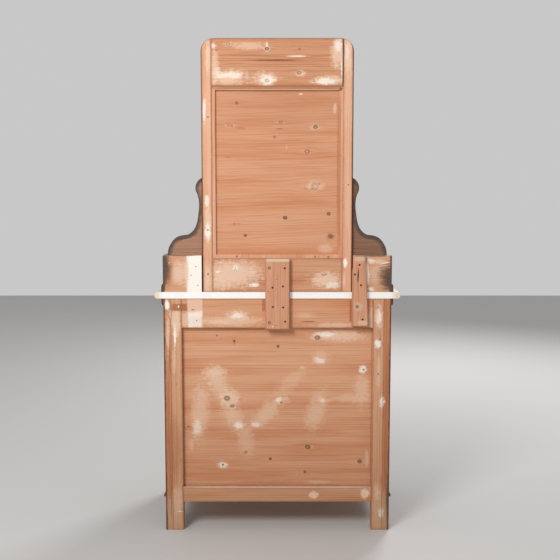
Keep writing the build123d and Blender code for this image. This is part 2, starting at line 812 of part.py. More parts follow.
for side, name in ((-1, "left"), (1, "right")):
    stile_spans = ((door_inner, door_inner + door_stile_width), (door_outer - door_stile_width, door_outer))
    rail_span = (stile_spans[0][1] + joint_line, stile_spans[1][0] - joint_line)
    rail_heights = ((door_bottom, door_bottom + door_rail_width), (door_top - door_rail_width, door_top))
    door_y = (front, door_back)

    with BuildPart() as door_frame:
        for span in stile_spans:
            board(sided(side, *span), door_y, (door_bottom, door_top))
        for span in rail_heights:
            board(sided(side, *rail_span), door_y, span)
        fillet(door_frame.edges().filter_by(Axis.Z).group_by(Axis.Y)[0], radius=board_edge)
        for height in hinge_heights:
            leaf_height = (height - hinge_height / 2, height + hinge_height / 2)
            board(door_leaf_span(side), (front, front + leaf_width), leaf_height, Mode.SUBTRACT)
            gap_span = sided(side, hinge_x - leaf_clearance, door_outer)
            board(gap_span, (front, front + leaf_width), leaf_height, Mode.SUBTRACT)
        if side > 0:
            cut_keyhole(door_y)
        else:
            groove = (door_top - flush_bolt_length, door_top)
            board(roomy(flush_bolt_span, key_clearance), roomy(flush_bolt_depth, key_clearance), groove,
                  Mode.SUBTRACT)
    save(door_frame.part, f"door_{name}_frame")

    panel_x = (stile_spans[0][1], stile_spans[1][0])
    panel_z = (rail_heights[0][1], rail_heights[1][0])
    panel_front = front + door_panel_recess
    with BuildPart() as door_panel:
        board(sided(side, *panel_x), (panel_front, panel_front + door_panel_thickness), panel_z)
        field_x = roomy(panel_x, -door_field_border)
        field_z = roomy(panel_z, -door_field_border)
        board(sided(side, *field_x), (panel_front - door_field_height, panel_front), field_z)
        chamfer(door_panel.faces().sort_by(Axis.Y)[0].edges(), length=door_field_height * 0.8)
    save(door_panel.part, f"door_{name}_panel")

    with BuildPart() as door_leaves:
        for height in hinge_heights:
            leaf_height = (height - hinge_height / 2, height + hinge_height / 2)
            knuckle = roomy(leaf_height, -knuckle_length - knuckle_gap)
            board(door_leaf_span(side), (front, front + leaf_width), leaf_height)
            board(door_leaf_span(side), (hinge_y, front), knuckle)
            with Locations((side * hinge_x, hinge_y, height)):
                Cylinder(knuckle_radius, length(knuckle))
                Cylinder(pin_radius + pin_clearance, hinge_height, mode=Mode.SUBTRACT)
    save(door_leaves.part, f"door_{name}_hinge_leaves")

with BuildPart() as post_hinge_leaves:
    for side in (-1, 1):
        for height in hinge_heights:
            leaf_height = (height - hinge_height / 2, height + hinge_height / 2)
            board(post_leaf_span(side), (front, front + leaf_width), leaf_height)
            for knuckle in ((leaf_height[0], leaf_height[0] + knuckle_length),
                            (leaf_height[1] - knuckle_length, leaf_height[1])):
                board(post_leaf_span(side), (hinge_y, front), knuckle)
                with Locations((side * hinge_x, hinge_y, middle(knuckle))):
                    Cylinder(knuckle_radius, knuckle_length)
            with Locations((side * hinge_x, hinge_y, height)):
                Cylinder(pin_radius, hinge_height + 2 * pin_cap_height)
            for cap in roomy(leaf_height, pin_cap_height):
                with Locations((side * hinge_x, hinge_y, cap)):
                    Sphere(pin_radius * 1.3)
save(post_hinge_leaves.part, "post_hinge_leaves")

with BuildPart() as door_lock:
    board(lock_x, (door_back, lock_back), lock_z)
    board(roomy(lock_x, -lock_wall), (door_back, lock_back - lock_wall), roomy(lock_z, -lock_wall),
          Mode.SUBTRACT)
    board((lock_x[0] - lock_wall, lock_x[0] + 2 * lock_wall), roomy(lock_bolt_y, key_clearance),
          roomy(lock_bolt_z, key_clearance), Mode.SUBTRACT)
    # escutcheon plate on the outside of the stile
    with Locations((key_x, front - escutcheon_thickness / 2, key_z - key_bit_length / 3)):
        Cylinder(escutcheon_radius, escutcheon_thickness, rotation=(90, 0, 0))
    cut_keyhole((front - escutcheon_thickness, front))
save(door_lock.part, "door_lock")

with BuildPart() as lock_bolt:
    board((lock_x[0], lock_x[0] + lock_bolt_length), lock_bolt_y, lock_bolt_z)
save(lock_bolt.part, "lock_bolt")

bow_middle = front - key_stand_out - key_bow_radius
with BuildPart() as lock_key:
    shank = (bow_middle + key_bow_radius - key_bow_wall / 2, key_bit_y[1])
    with Locations((key_x, middle(shank), key_z)):
        Cylinder(key_shank_radius, length(shank), rotation=(90, 0, 0))
    with Locations((key_x, bow_middle, key_z)):
        Cylinder(key_bow_radius, key_bow_thickness, rotation=(0, 90, 0))
        Cylinder(key_bow_radius - key_bow_wall, key_bow_thickness, rotation=(0, 90, 0), mode=Mode.SUBTRACT)
    board((key_x - key_bit_thickness / 2, key_x + key_bit_thickness / 2), key_bit_y,
          (key_z - key_bit_length, key_z))
save(lock_key.part, "lock_key")

with BuildPart() as door_left_bolt:
    board(flush_bolt_span, flush_bolt_depth, (door_top - flush_bolt_length, door_top))
    with Locations((middle(flush_bolt_span), door_back + flush_bolt_stud_length / 2,
                    door_top - flush_bolt_length * 0.7)):
        Cylinder(flush_bolt_stud_radius, flush_bolt_stud_length, rotation=(90, 0, 0))
save(door_left_bolt.part, "door_left_bolt")

# Small drawers

box_opening = (box_inner + box_side_thickness, half_base - box_side_thickness)
small_z = (box_floor + small_gap, box_ceiling - small_gap)
small_front_back = box_front + small_front_thickness
small_run = (small_front_back, box_back_front - small_drawer_back_clearance)
small_side_top = box_floor + small_side_height
for side, name in ((-1, "left"), (1, "right")):
    small_x = roomy(box_opening, -small_gap)
    with BuildPart() as small_front:
        board(sided(side, *small_x), (box_front, small_front_back), small_z)
        fillet(small_front.faces().sort_by(Axis.Y)[0].edges(), radius=board_edge)
    save(small_front.part, f"small_drawer_{name}_front")

    with BuildPart() as small_tray:
        board(sided(side, *small_x), small_run, (box_floor, small_side_top))
        board(sided(side, *roomy(small_x, -small_wall)), (small_run[0], small_run[1] - small_wall),
              (box_floor + small_floor, small_side_top), Mode.SUBTRACT)
    save(small_tray.part, f"small_drawer_{name}_tray")

    with BuildPart() as small_knob:
        turned_knob(side * middle(small_x), box_front, middle(small_z), small_knob_radius,
                    small_knob_neck_radius, small_knob_base_radius, small_knob_length)
    save(small_knob.part, f"small_drawer_{name}_knob")
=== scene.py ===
"""Washstand with a marble top, two drawer boxes and a tall mirror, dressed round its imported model."""
import logging
import math
from dataclasses import dataclass
from enum import Enum
from typing import Any, ClassVar, Optional, Sequence

import bmesh
import bpy
from mathutils import Matrix, Vector


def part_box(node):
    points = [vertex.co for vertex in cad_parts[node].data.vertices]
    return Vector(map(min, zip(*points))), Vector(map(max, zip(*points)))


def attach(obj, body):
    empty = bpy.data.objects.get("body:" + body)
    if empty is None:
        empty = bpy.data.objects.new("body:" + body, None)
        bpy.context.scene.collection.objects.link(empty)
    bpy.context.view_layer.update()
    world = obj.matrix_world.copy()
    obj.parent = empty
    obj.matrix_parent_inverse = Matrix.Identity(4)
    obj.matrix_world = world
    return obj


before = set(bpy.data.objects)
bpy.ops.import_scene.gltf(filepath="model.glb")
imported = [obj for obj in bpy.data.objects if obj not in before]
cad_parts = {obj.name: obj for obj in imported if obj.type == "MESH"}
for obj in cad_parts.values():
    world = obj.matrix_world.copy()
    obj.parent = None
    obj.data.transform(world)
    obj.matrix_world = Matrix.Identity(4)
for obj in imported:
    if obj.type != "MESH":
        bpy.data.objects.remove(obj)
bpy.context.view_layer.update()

LOG = logging.getLogger("washstand")
Socket = bpy.types.NodeSocket
Rgba = tuple[float, float, float, float]
Point = tuple[float, float, float]
Corners = tuple[Point, Point]
Span = tuple[float, float]
SIDES = {"left": -1, "right": 1}


def shade(red: int, green: int, blue: int) -> Rgba:
    """Turn a colour as a screen shows it into the linear colour that a shader reads.

    Args:
        red: Red, from 0 to 255.
        green: Green, from 0 to 255.
        blue: Blue, from 0 to 255.

    Returns:
        Linear red, green, blue and an alpha of one.
    """
    linear = []
    for value in (red, green, blue):
        share = value / 255
        linear.append(share / 12.92 if share <= 0.04045 else ((share + 0.055) / 1.055) ** 2.4)
    return (*linear, 1.0)


class Grain(Enum):
    """Which way the fibres of a board run: the axes along, across and through the board."""

    ALONG_X = (0, 2, 1)
    ALONG_Y = (1, 2, 0)
    ALONG_Z = (2, 0, 1)


class Tone(Enum):
    """Colours of the marks that years of use have left on bare softwood, also laid as painted shade and
    painted highlights.
    """

    CHALK_AND_HIGHLIGHT = shade(252, 244, 232)
    PALE = shade(236, 200, 172)
    BLEACHED_AND_HIGHLIGHT = shade(214, 190, 158)
    ORANGE = shade(170, 104, 62)
    BROWN = shade(126, 76, 46)
    SMOKE_AND_SHADOW = shade(88, 68, 58)
    INK = shade(44, 24, 14)


@dataclass(frozen=True)
class Knot:
    """A knot in a board, placed on the board's face by its X and Z in metres."""

    x: float
    z: float
    radius: float
    dark: float = 0.8
    ring: float = 0.4
    halo: float = 0.2


@dataclass(frozen=True)
class Patch:
    """A soft-edged mark on a board's face, placed by the X and Z of its middle in metres."""

    tone: Tone
    x: float
    z: float
    half_width: float
    half_height: float
    strength: float = 0.7
    turn: float = 0.0
    soft: float = 0.6
    square: float = 0.0
    ragged: float = 0.5


def metres(row: Sequence[float]) -> list[float]:
    """Turn millimetres into metres."""
    return [value / 1000 for value in row]


def knots(*rows: Sequence[float]) -> tuple[Knot, ...]:
    """Make knots from rows of X, Z and radius in millimetres, then dark, ring and halo."""
    return tuple(Knot(*metres(row[:3]), *row[3:]) for row in rows)


def spots(tone: Tone, *rows: Sequence[float], **style: float) -> tuple[Patch, ...]:
    """Make marks of one tone and style.

    Args:
        tone: Their colour.
        *rows: The X, Z, half width and half height of each in millimetres, then its strength and its turn
            in degrees, which may be left out.
        **style: How soft, square and ragged they all are.

    Returns:
        The marks, in the order that they are laid in.
    """
    return tuple(Patch(tone, *metres(row[:4]), *row[4:], **style) for row in rows)


class Wiring:
    """Adds nodes to one node tree and joins them."""

    def __init__(self, tree: bpy.types.NodeTree) -> None:
        """Keep the tree that the nodes go into."""
        self.tree = tree

    def feed(self, socket: Socket, value: Any) -> None:
        """Link a socket to another one, or set its own value."""
        if isinstance(value, bpy.types.NodeSocket):
            self.tree.links.new(value, socket)
        else:
            socket.default_value = value

    def add(self, kind: str, inputs: Optional[dict[str, Any]] = None, **settings: Any) -> bpy.types.Node:
        """Add one node.

        Args:
            kind: The node's type name.
            inputs: Values or sockets for its inputs, by name.
            **settings: Settings of the node itself.

        Returns:
            The new node.
        """
        node = self.tree.nodes.new(kind)
        for key, value in settings.items():
            setattr(node, key, value)
        for key, value in (inputs or {}).items():
            self.feed(node.inputs[key], value)
        return node

    def use(self, group: bpy.types.NodeTree, inputs: dict[str, Any]) -> bpy.types.bpy_prop_collection:
        """Place a node group and return its outputs."""
        return self.add("ShaderNodeGroup", inputs, node_tree=group).outputs

    def math(self, operation: str, *values: Any) -> Socket:
        """Add a sum on numbers and return its result."""
        node = self.add("ShaderNodeMath", operation=operation)
        for socket, value in zip(node.inputs, values):
            self.feed(socket, value)
        return node.outputs[0]

    def plus(self, first: Any, second: Any) -> Socket:
        """Add two numbers."""
        return self.math("ADD", first, second)

    def minus(self, first: Any, second: Any) -> Socket:
        """Take the second number from the first."""
        return self.math("SUBTRACT", first, second)

    def times(self, first: Any, second: Any) -> Socket:
        """Multiply two numbers."""
        return self.math("MULTIPLY", first, second)

    def over(self, first: Any, second: Any) -> Socket:
        """Divide the first number by the second."""
        return self.math("DIVIDE", first, second)

    def scaled(self, value: Any, factor: Any, base: Any) -> Socket:
        """Multiply a number by a factor and add it to a base."""
        return self.math("MULTIPLY_ADD", value, factor, base)

    def vector(self, operation: str, *values: Any) -> Socket:
        """Add a sum on vectors and return its result."""
        node = self.add("ShaderNodeVectorMath", operation=operation)
        for socket, value in zip(node.inputs, values):
            self.feed(socket, value)
        return node.outputs["Value" if operation in ("LENGTH", "DOT_PRODUCT") else "Vector"]

    def split(self, vector: Socket) -> tuple[Socket, Socket, Socket]:
        """Take a vector apart into X, Y and Z."""
        outputs = self.add("ShaderNodeSeparateXYZ", {"Vector": vector}).outputs
        return outputs[0], outputs[1], outputs[2]

    def join(self, x: Any, y: Any, z: Any) -> Socket:
        """Make a vector from X, Y and Z."""
        return self.add("ShaderNodeCombineXYZ", {"X": x, "Y": y, "Z": z}).outputs[0]

    def smooth(self, value: Any, low: Any, high: Any) -> Socket:
        """Rise smoothly from 0 at low to 1 at high."""
        inputs = {"Value": value, "From Min": low, "From Max": high}
        return self.add("ShaderNodeMapRange", inputs, interpolation_type="SMOOTHSTEP").outputs[0]

    def fall(self, value: Any, low: Any, high: Any) -> Socket:
        """Fall smoothly from 1 at low to 0 at high."""
        return self.minus(1.0, self.smooth(value, low, high))

    def mix(self, share: Any, first: Any, second: Any, blend: str = "MIX") -> Socket:
        """Mix two colours.

        Args:
            share: How much of the second colour, from 0 to 1.
            first: The colour below.
            second: The colour above.
            blend: The way of mixing.

        Returns:
            The mixed colour.
        """
        node = self.add("ShaderNodeMix", data_type="RGBA", blend_type=blend)
        for index, value in ((0, share), (6, first), (7, second)):
            self.feed(node.inputs[index], value)
        return node.outputs[2]

    def tint(self, colour: Any, mask: Any, strength: Any, over: Any, blend: str = "MIX") -> Socket:
        """Lay a second colour over one, through a mask and at a strength."""
        return self.mix(self.times(mask, strength), colour, over, blend)

    def lerp(self, share: Any, first: Any, second: Any) -> Socket:
        """Mix two numbers."""
        node = self.add("ShaderNodeMix", data_type="FLOAT")
        for index, value in ((0, share), (2, first), (3, second)):
            self.feed(node.inputs[index], value)
        return node.outputs[0]

    def noise(self, vector: Any, scale: float, detail: float = 2.0, roughness: float = 0.5) -> Socket:
        """Add a noise texture and return its value, about one half on average."""
        inputs = {"Vector": vector, "Scale": scale, "Detail": detail, "Roughness": roughness}
        return self.add("ShaderNodeTexNoise", inputs).outputs[0]

    def swing(self, vector: Any, scale: float, detail: float, roughness: float = 0.5) -> Socket:
        """Add a noise texture that swings about zero."""
        return self.minus(self.noise(vector, scale, detail, roughness), 0.5)


def open_group(name: str, inputs: dict[str, Any], outputs: Sequence[str]) -> tuple[Wiring,
                                                                                   dict[str, Socket],
                                                                                   bpy.types.Node]:
    """Start a shader node group.

    Args:
        name: The group's name.
        inputs: A number for a plain input or a tuple for a vector one, by name.
        outputs: The names of its outputs; one called Vector is a vector.

    Returns:
        The wiring for its tree, its inputs by name, and its output node.
    """
    tree = bpy.data.node_groups.new(name, "ShaderNodeTree")
    for key, value in inputs.items():
        kind = "NodeSocketVector" if isinstance(value, tuple) else "NodeSocketFloat"
        socket = tree.interface.new_socket(key, in_out="INPUT", socket_type=kind)
        socket.default_value = value
    for key in outputs:
        kind = "NodeSocketVector" if key == "Vector" else "NodeSocketFloat"
        tree.interface.new_socket(key, in_out="OUTPUT", socket_type=kind)
    wiring = Wiring(tree)
    entry = tree.nodes.new("NodeGroupInput")
    return wiring, {key: entry.outputs[key] for key in inputs}, tree.nodes.new("NodeGroupOutput")


def growth_group() -> bpy.types.NodeTree:
    """Year rings round a pith, and the fibres along them, in a board's own axes.

    Returns:
        A group that gives masks for late wood, fibres and broad patches.
    """
    w, given, out = open_group("growth rings", {"Vector": (0, 0, 0), "Pith": (0, 0, 0), "Spacing": 0.006,
                                                "Wander": 0.004, "Seed": 0.0},
                               ("Late", "Fibre", "Broad", "Scuff"))
    x, y, z = w.split(given["Vector"])
    shift = w.times(given["Seed"], 7.31)

    def stretched(along: float, across: float) -> Socket:
        """Squeeze the board's axes, so that a noise reads as streaks along the fibres."""
        return w.join(w.scaled(x, along, shift), w.times(y, across), w.times(z, across))

    sway = w.swing(stretched(2.2, 7.0), 1.0, 2.0)
    ripple = w.swing(stretched(9.0, 40.0), 1.0, 1.0)
    bend = w.scaled(ripple, 0.3, w.times(sway, 2.0))
    pith_x, pith_y, pith_z = w.split(given["Pith"])
    off_y = w.minus(y, pith_y)
    off_z = w.minus(z, pith_z)
    square = w.scaled(off_y, off_y, w.times(off_z, off_z))
    radius = w.scaled(bend, given["Wander"], w.math("SQRT", square))
    uneven = w.noise(w.join(shift, w.times(y, 38.0), w.times(z, 38.0)), 1.0, 1.0)
    radius = w.scaled(uneven, 0.02, radius)
    turns = w.over(w.scaled(x, pith_x, radius), given["Spacing"])
    season = w.math("FRACT", turns)
    year = w.plus(w.math("FLOOR", turns), shift)
    luck = w.add("ShaderNodeTexWhiteNoise", {"W": year}, noise_dimensions="1D").outputs["Value"]
    rise = w.smooth(season, 0.2, 0.88)
    fall = w.fall(season, 0.9, 1.0)
    weight = w.scaled(w.times(luck, luck), 0.8, 0.2)
    late = w.times(w.times(rise, fall), weight)
    w.feed(out.inputs["Late"], late)
    w.feed(out.inputs["Fibre"], w.noise(stretched(6.0, 330.0), 1.0, 3.0, 0.65))
    w.feed(out.inputs["Broad"], w.noise(stretched(2.0, 22.0), 1.0, 3.0, 0.55))
    w.feed(out.inputs["Scuff"], w.smooth(w.noise(stretched(42.0, 230.0), 1.0, 4.0, 0.7), 0.3, 0.7))
    return w.tree


def knot_group() -> bpy.types.NodeTree:
    """One knot: a dark core or ring, a pale halo, and fibres that flow round it.

    Returns:
        A group that passes on the board's axes, bent round the knot, and adds to two masks.
    """
    w, given, out = open_group("knot", {"Vector": (0, 0, 0), "Centre": (0, 0, 0), "Radius": 0.005,
                                        "Dark": 0.8, "Ring": 0.4, "Pale": 0.2, "Core": 0.0, "Halo": 0.0},
                               ("Vector", "Core", "Halo"))
    x, y, z = w.split(given["Vector"])
    centre_x, centre_y, _ = w.split(given["Centre"])
    off_x = w.over(w.minus(x, centre_x), given["Radius"])
    off_y = w.over(w.minus(y, centre_y), given["Radius"])
    rough = w.swing(given["Vector"], 260.0, 2.0)
    reach = w.vector("LENGTH", w.join(w.times(off_x, 0.85), off_y, 0.0))
    reach = w.scaled(rough, 0.9, reach)
    disc = w.fall(reach, 0.7, 1.2)
    rim = w.minus(w.fall(reach, 0.85, 1.3), w.fall(reach, 0.3, 0.85))
    core = w.times(given["Dark"], w.lerp(given["Ring"], disc, rim))
    w.feed(out.inputs["Core"], w.math("MAXIMUM", given["Core"], core))
    flare = w.vector("LENGTH", w.join(w.times(off_x, 0.45), off_y, 0.0))
    flare = w.scaled(w.swing(given["Vector"], 120.0, 3.0), 2.4, flare)
    halo = w.times(given["Pale"], w.fall(flare, 0.8, 2.6))
    w.feed(out.inputs["Halo"], w.math("MAXIMUM", given["Halo"], halo))
    spread = w.vector("LENGTH", w.join(w.times(off_x, 0.35), off_y, 0.0))
    fade = w.math("EXPONENT", w.times(w.times(spread, spread), -0.22))
    keep = w.scaled(fade, -0.85, 1.0)
    bent = w.scaled(w.times(off_y, given["Radius"]), keep, centre_y)
    w.feed(out.inputs["Vector"], w.join(x, bent, z))
    return w.tree


def patch_group() -> bpy.types.NodeTree:
    """A mark with a soft ragged edge on a face that looks along Y.

    Returns:
        A group that gives the mark's mask.
    """
    w, given, out = open_group("patch", {"Vector": (0, 0, 0), "Centre": (0, 0, 0), "Half Size": (1, 1, 1),
                                         "Turn": 0.0, "Soft": 0.6, "Square": 0.0, "Ragged": 0.5,
                                         "Broken": 1.0, "Scuff": 0.5, "Strength": 1.0}, ("Mask",))
    turned = w.add("ShaderNodeVectorRotate", {"Vector": given["Vector"], "Center": given["Centre"],
                                              "Angle": given["Turn"]}, rotation_type="Y_AXIS").outputs[0]
    off = w.vector("DIVIDE", w.vector("SUBTRACT", turned, given["Centre"]), given["Half Size"])
    x, _, z = w.split(off)
    round_reach = w.vector("LENGTH", w.join(x, 0.0, z))
    square_reach = w.math("MAXIMUM", w.math("ABSOLUTE", x), w.math("ABSOLUTE", z))
    reach = w.lerp(given["Square"], round_reach, square_reach)
    rough = w.swing(given["Vector"], 95.0, 4.0, 0.65)
    reach = w.scaled(w.times(rough, 2.2), given["Ragged"], reach)
    low = w.minus(1.0, given["Soft"])
    high = w.scaled(given["Soft"], 0.45, 1.001)
    whole = w.fall(reach, low, high)
    cover = w.scaled(given["Scuff"], -0.6, w.times(whole, 1.5))
    mask = w.lerp(given["Broken"], whole, w.smooth(cover, 0.0, 1.15))
    w.feed(out.inputs["Mask"], w.times(mask, given["Strength"]))
    return w.tree


def edge_group() -> bpy.types.NodeTree:
    """The strip along the edges of a board, where it is rubbed or dirty.

    Returns:
        A group that gives a mask, from the lowest and the highest corner of the board.
    """
    w, given, out = open_group("board edges", {"Vector": (0, 0, 0), "Low": (0, 0, 0), "High": (1, 1, 1),
                                               "Width": 0.004}, ("Edge",))
    inward = w.vector("MINIMUM", w.vector("SUBTRACT", given["Vector"], given["Low"]),
                      w.vector("SUBTRACT", given["High"], given["Vector"]))
    x, y, z = w.split(inward)
    least = w.math("MINIMUM", x, y)
    most = w.math("MAXIMUM", x, y)
    second = w.math("MAXIMUM", least, w.math("MINIMUM", most, z))
    rough = w.noise(given["Vector"], 55.0, 4.0, 0.6)
    width = w.times(given["Width"], w.scaled(rough, 2.6, -0.5))
    edge = w.fall(w.minus(second, width), 0.0, given["Width"])
    within = w.smooth(w.math("MINIMUM", least, z), -0.0015, -0.0005)
    w.feed(out.inputs["Edge"], w.times(edge, within))
    return w.tree


def pore_group() -> bpy.types.NodeTree:
    """The short dark pores of a hardwood, in a board's own axes.

    Returns:
        A group that gives their mask.
    """
    w, given, out = open_group("pores", {"Vector": (0, 0, 0)}, ("Pores",))
    x, y, z = w.split(given["Vector"])
    drawn = w.join(w.times(x, 55.0), w.times(y, 1100.0), w.times(z, 1100.0))
    w.feed(out.inputs["Pores"], w.smooth(w.noise(drawn, 1.0, 1.0), 0.58, 0.72))
    return w.tree


def dust_group() -> bpy.types.NodeTree:
    """Dust that has settled on the faces that look up.

    Returns:
        A group that gives its mask.
    """
    w, given, out = open_group("dust", {"Vector": (0, 0, 0), "Normal": (0, 0, 1)}, ("Dust",))
    _, _, up = w.split(given["Normal"])
    cloud = w.smooth(w.noise(given["Vector"], 22.0, 5.0, 0.7), 0.3, 0.8)
    w.feed(out.inputs["Dust"], w.times(w.smooth(up, 0.5, 0.98), cloud))
    return w.tree


class Effects:
    """The shader node groups that several finishes share, each built once."""

    growth = growth_group()
    knot = knot_group()
    patch = patch_group()
    edge = edge_group()
    pores = pore_group()
    dust = dust_group()


BUMP_STRENGTH = 0.8
PREVIEW_COLOUR = (0.6, 0.45, 0.3, 1.0)


@dataclass(frozen=True)
class Surface:
    """What a finish puts into its shader: colour, roughness and the height of its relief."""

    colour: Any
    roughness: Any
    height: Any


@dataclass(frozen=True)
class Finish:
    """A finish that makes one material out of its surface."""

    name: str
    relief: ClassVar[float] = 0.0004
    constants: ClassVar[dict[str, float]] = {}

    def surface(self, w: Wiring, place: Socket, normal: Socket) -> Surface:
        """Build the nodes of the surface.

        Args:
            w: The wiring of the material's tree.
            place: Object coordinates, in metres.
            normal: The face's normal.

        Returns:
            The sockets that feed the shader.
        """
        raise NotImplementedError

    def material(self) -> bpy.types.Material:
        """Build the material once, and return it."""
        made = bpy.data.materials.get(self.name)
        if made:
            return made
        made = bpy.data.materials.new(self.name)
        made.use_nodes = True
        made.node_tree.nodes.clear()
        w = Wiring(made.node_tree)
        coordinates = w.add("ShaderNodeTexCoord").outputs
        surface = self.surface(w, coordinates["Object"], coordinates["Normal"])
        bump = w.add("ShaderNodeBump", {"Height": surface.height, "Strength": BUMP_STRENGTH,
                                        "Distance": self.relief})
        inputs = {"Base Color": surface.colour, "Roughness": surface.roughness, "Normal": bump.outputs[0],
                  **self.constants}
        shader = w.add("ShaderNodeBsdfPrincipled", inputs)
        w.add("ShaderNodeOutputMaterial", {"Surface": shader.outputs[0]})
        made.diffuse_color = PREVIEW_COLOUR
        return made


def board_axes(w: Wiring, place: Socket, grain: Grain) -> Socket:
    """Turn object coordinates into a board's own axes: along, across and through."""
    axes = w.split(place)
    return w.join(*[axes[index] for index in grain.value])


def board_point(grain: Grain, x: float, z: float) -> Point:
    """Turn the X and Z of a mark into a board's own axes."""
    point = (x, 0.0, z)
    return tuple(point[index] for index in grain.value)


def add_patches(w: Wiring, place: Socket, colour: Socket, patches: Sequence[Patch], gate: Any,
                scuff: Any) -> Socket:
    """Lay soft marks over a colour.

    Args:
        w: The wiring of the material's tree.
        place: Object coordinates.
        colour: The colour below.
        patches: The marks, from the lowest to the topmost.
        gate: A mask of where marks may lie.
        scuff: A noise along the fibres that breaks them up.

    Returns:
        The colour with its marks.
    """
    for patch in patches:
        mask = w.use(Effects.patch, {"Vector": place, "Centre": (patch.x, 0.0, patch.z),
                                     "Half Size": (patch.half_width, 1.0, patch.half_height),
                                     "Turn": math.radians(patch.turn), "Soft": patch.soft,
                                     "Square": patch.square, "Ragged": patch.ragged,
                                     "Broken": min(1.0, patch.ragged * 2.0), "Scuff": scuff,
                                     "Strength": patch.strength})["Mask"]
        colour = w.tint(colour, mask, gate, patch.tone.value)
    return colour


@dataclass(frozen=True)
class WoodFinish(Finish):
    """A finish with year rings; the pith is the middle that they grew round, in the board's own axes."""

    grain: Grain = Grain.ALONG_X
    spacing: float = 0.0075
    wander: float = 0.006
    pith: Point = (0.0, -0.55, 0.1)
    seed: float = 0.0

    def rings(self, w: Wiring, board: Socket) -> bpy.types.bpy_prop_collection:
        """Place the year rings in a board's own axes, and return their masks."""
        return w.use(Effects.growth, {"Vector": board, "Pith": self.pith, "Spacing": self.spacing,
                                      "Wander": self.wander, "Seed": self.seed})


@dataclass(frozen=True)
class PineFinish(WoodFinish):
    """Bare softwood, oiled orange by age, with its knots, rubbed spots and stains, painted shade and painted
    highlights.
    """

    early: Rgba = shade(224, 165, 124)
    late: Rgba = shade(184, 114, 70)
    contrast: float = 0.55
    knots: tuple[Knot, ...] = ()
    patches: tuple[Patch, ...] = ()
    faces_back: Optional[float] = None
    box: Optional[str] = None
    # How strongly the board is darkened towards the bottom, as painted shade.
    low_shade: float = 0.0
    relief: ClassVar[float] = 0.0005
    grime_width: ClassVar[float] = 0.0028
    gate_depth: ClassVar[Span] = (0.004, 0.002)
    painted_shade_heights: ClassVar[Span] = (0.05, 0.62)

    def surface(self, w: Wiring, place: Socket, normal: Socket) -> Surface:
        """Build rings, knots, marks, grime along the edges, painted shade towards the bottom and dust."""
        board = board_axes(w, place, self.grain)
        core: Any = 0.0
        halo: Any = 0.0
        for knot in self.knots:
            out = w.use(Effects.knot, {"Vector": board, "Centre": board_point(self.grain, knot.x, knot.z),
                                       "Radius": knot.radius, "Dark": knot.dark, "Ring": knot.ring,
                                       "Pale": knot.halo, "Core": core, "Halo": halo})
            board, core, halo = out["Vector"], out["Core"], out["Halo"]
        rings = self.rings(w, board)
        late, fibre, broad, scuff = rings["Late"], rings["Fibre"], rings["Broad"], rings["Scuff"]
        colour = w.tint(self.early, late, self.contrast, self.late)
        colour = w.mix(w.smooth(broad, 0.42, 0.7), colour, shade(244, 226, 210), "MULTIPLY")
        colour = w.tint(colour, w.smooth(fibre, 0.45, 0.72), 0.5, shade(228, 202, 180), "MULTIPLY")
        if self.knots:
            cover = w.scaled(scuff, -0.8, w.times(halo, 1.45))
            colour = w.tint(colour, w.smooth(cover, 0.0, 0.9), 0.5, Tone.PALE.value)
        gate: Any = 1.0
        if self.faces_back is not None:
            low, high = self.gate_depth
            gate = w.smooth(w.split(place)[1], self.faces_back - low, self.faces_back - high)
        colour = add_patches(w, place, colour, self.patches, gate, scuff)
        if self.knots:
            colour = w.mix(core, colour, shade(96, 54, 30))
        height = w.scaled(late, 0.5, w.times(fibre, 0.6))
        if self.box:
            low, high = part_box(self.box)
            edge = w.use(Effects.edge, {"Vector": place, "Low": tuple(low), "High": tuple(high),
                                        "Width": self.grime_width})["Edge"]
            colour = w.tint(colour, edge, 0.5, shade(150, 100, 70))
        # Painted shade: the colour is multiplied darker towards the bottom, fading out between the two
        # heights.
        if self.low_shade:
            fade = w.fall(w.split(place)[2], *self.painted_shade_heights)
            colour = w.tint(colour, fade, self.low_shade, shade(206, 190, 176), "MULTIPLY")
        dust = w.use(Effects.dust, {"Vector": place, "Normal": normal})["Dust"]
        colour = w.tint(colour, dust, 0.5, shade(196, 186, 168))
        roughness = w.scaled(fibre, 0.2, 0.55)
        return Surface(colour, roughness, height)


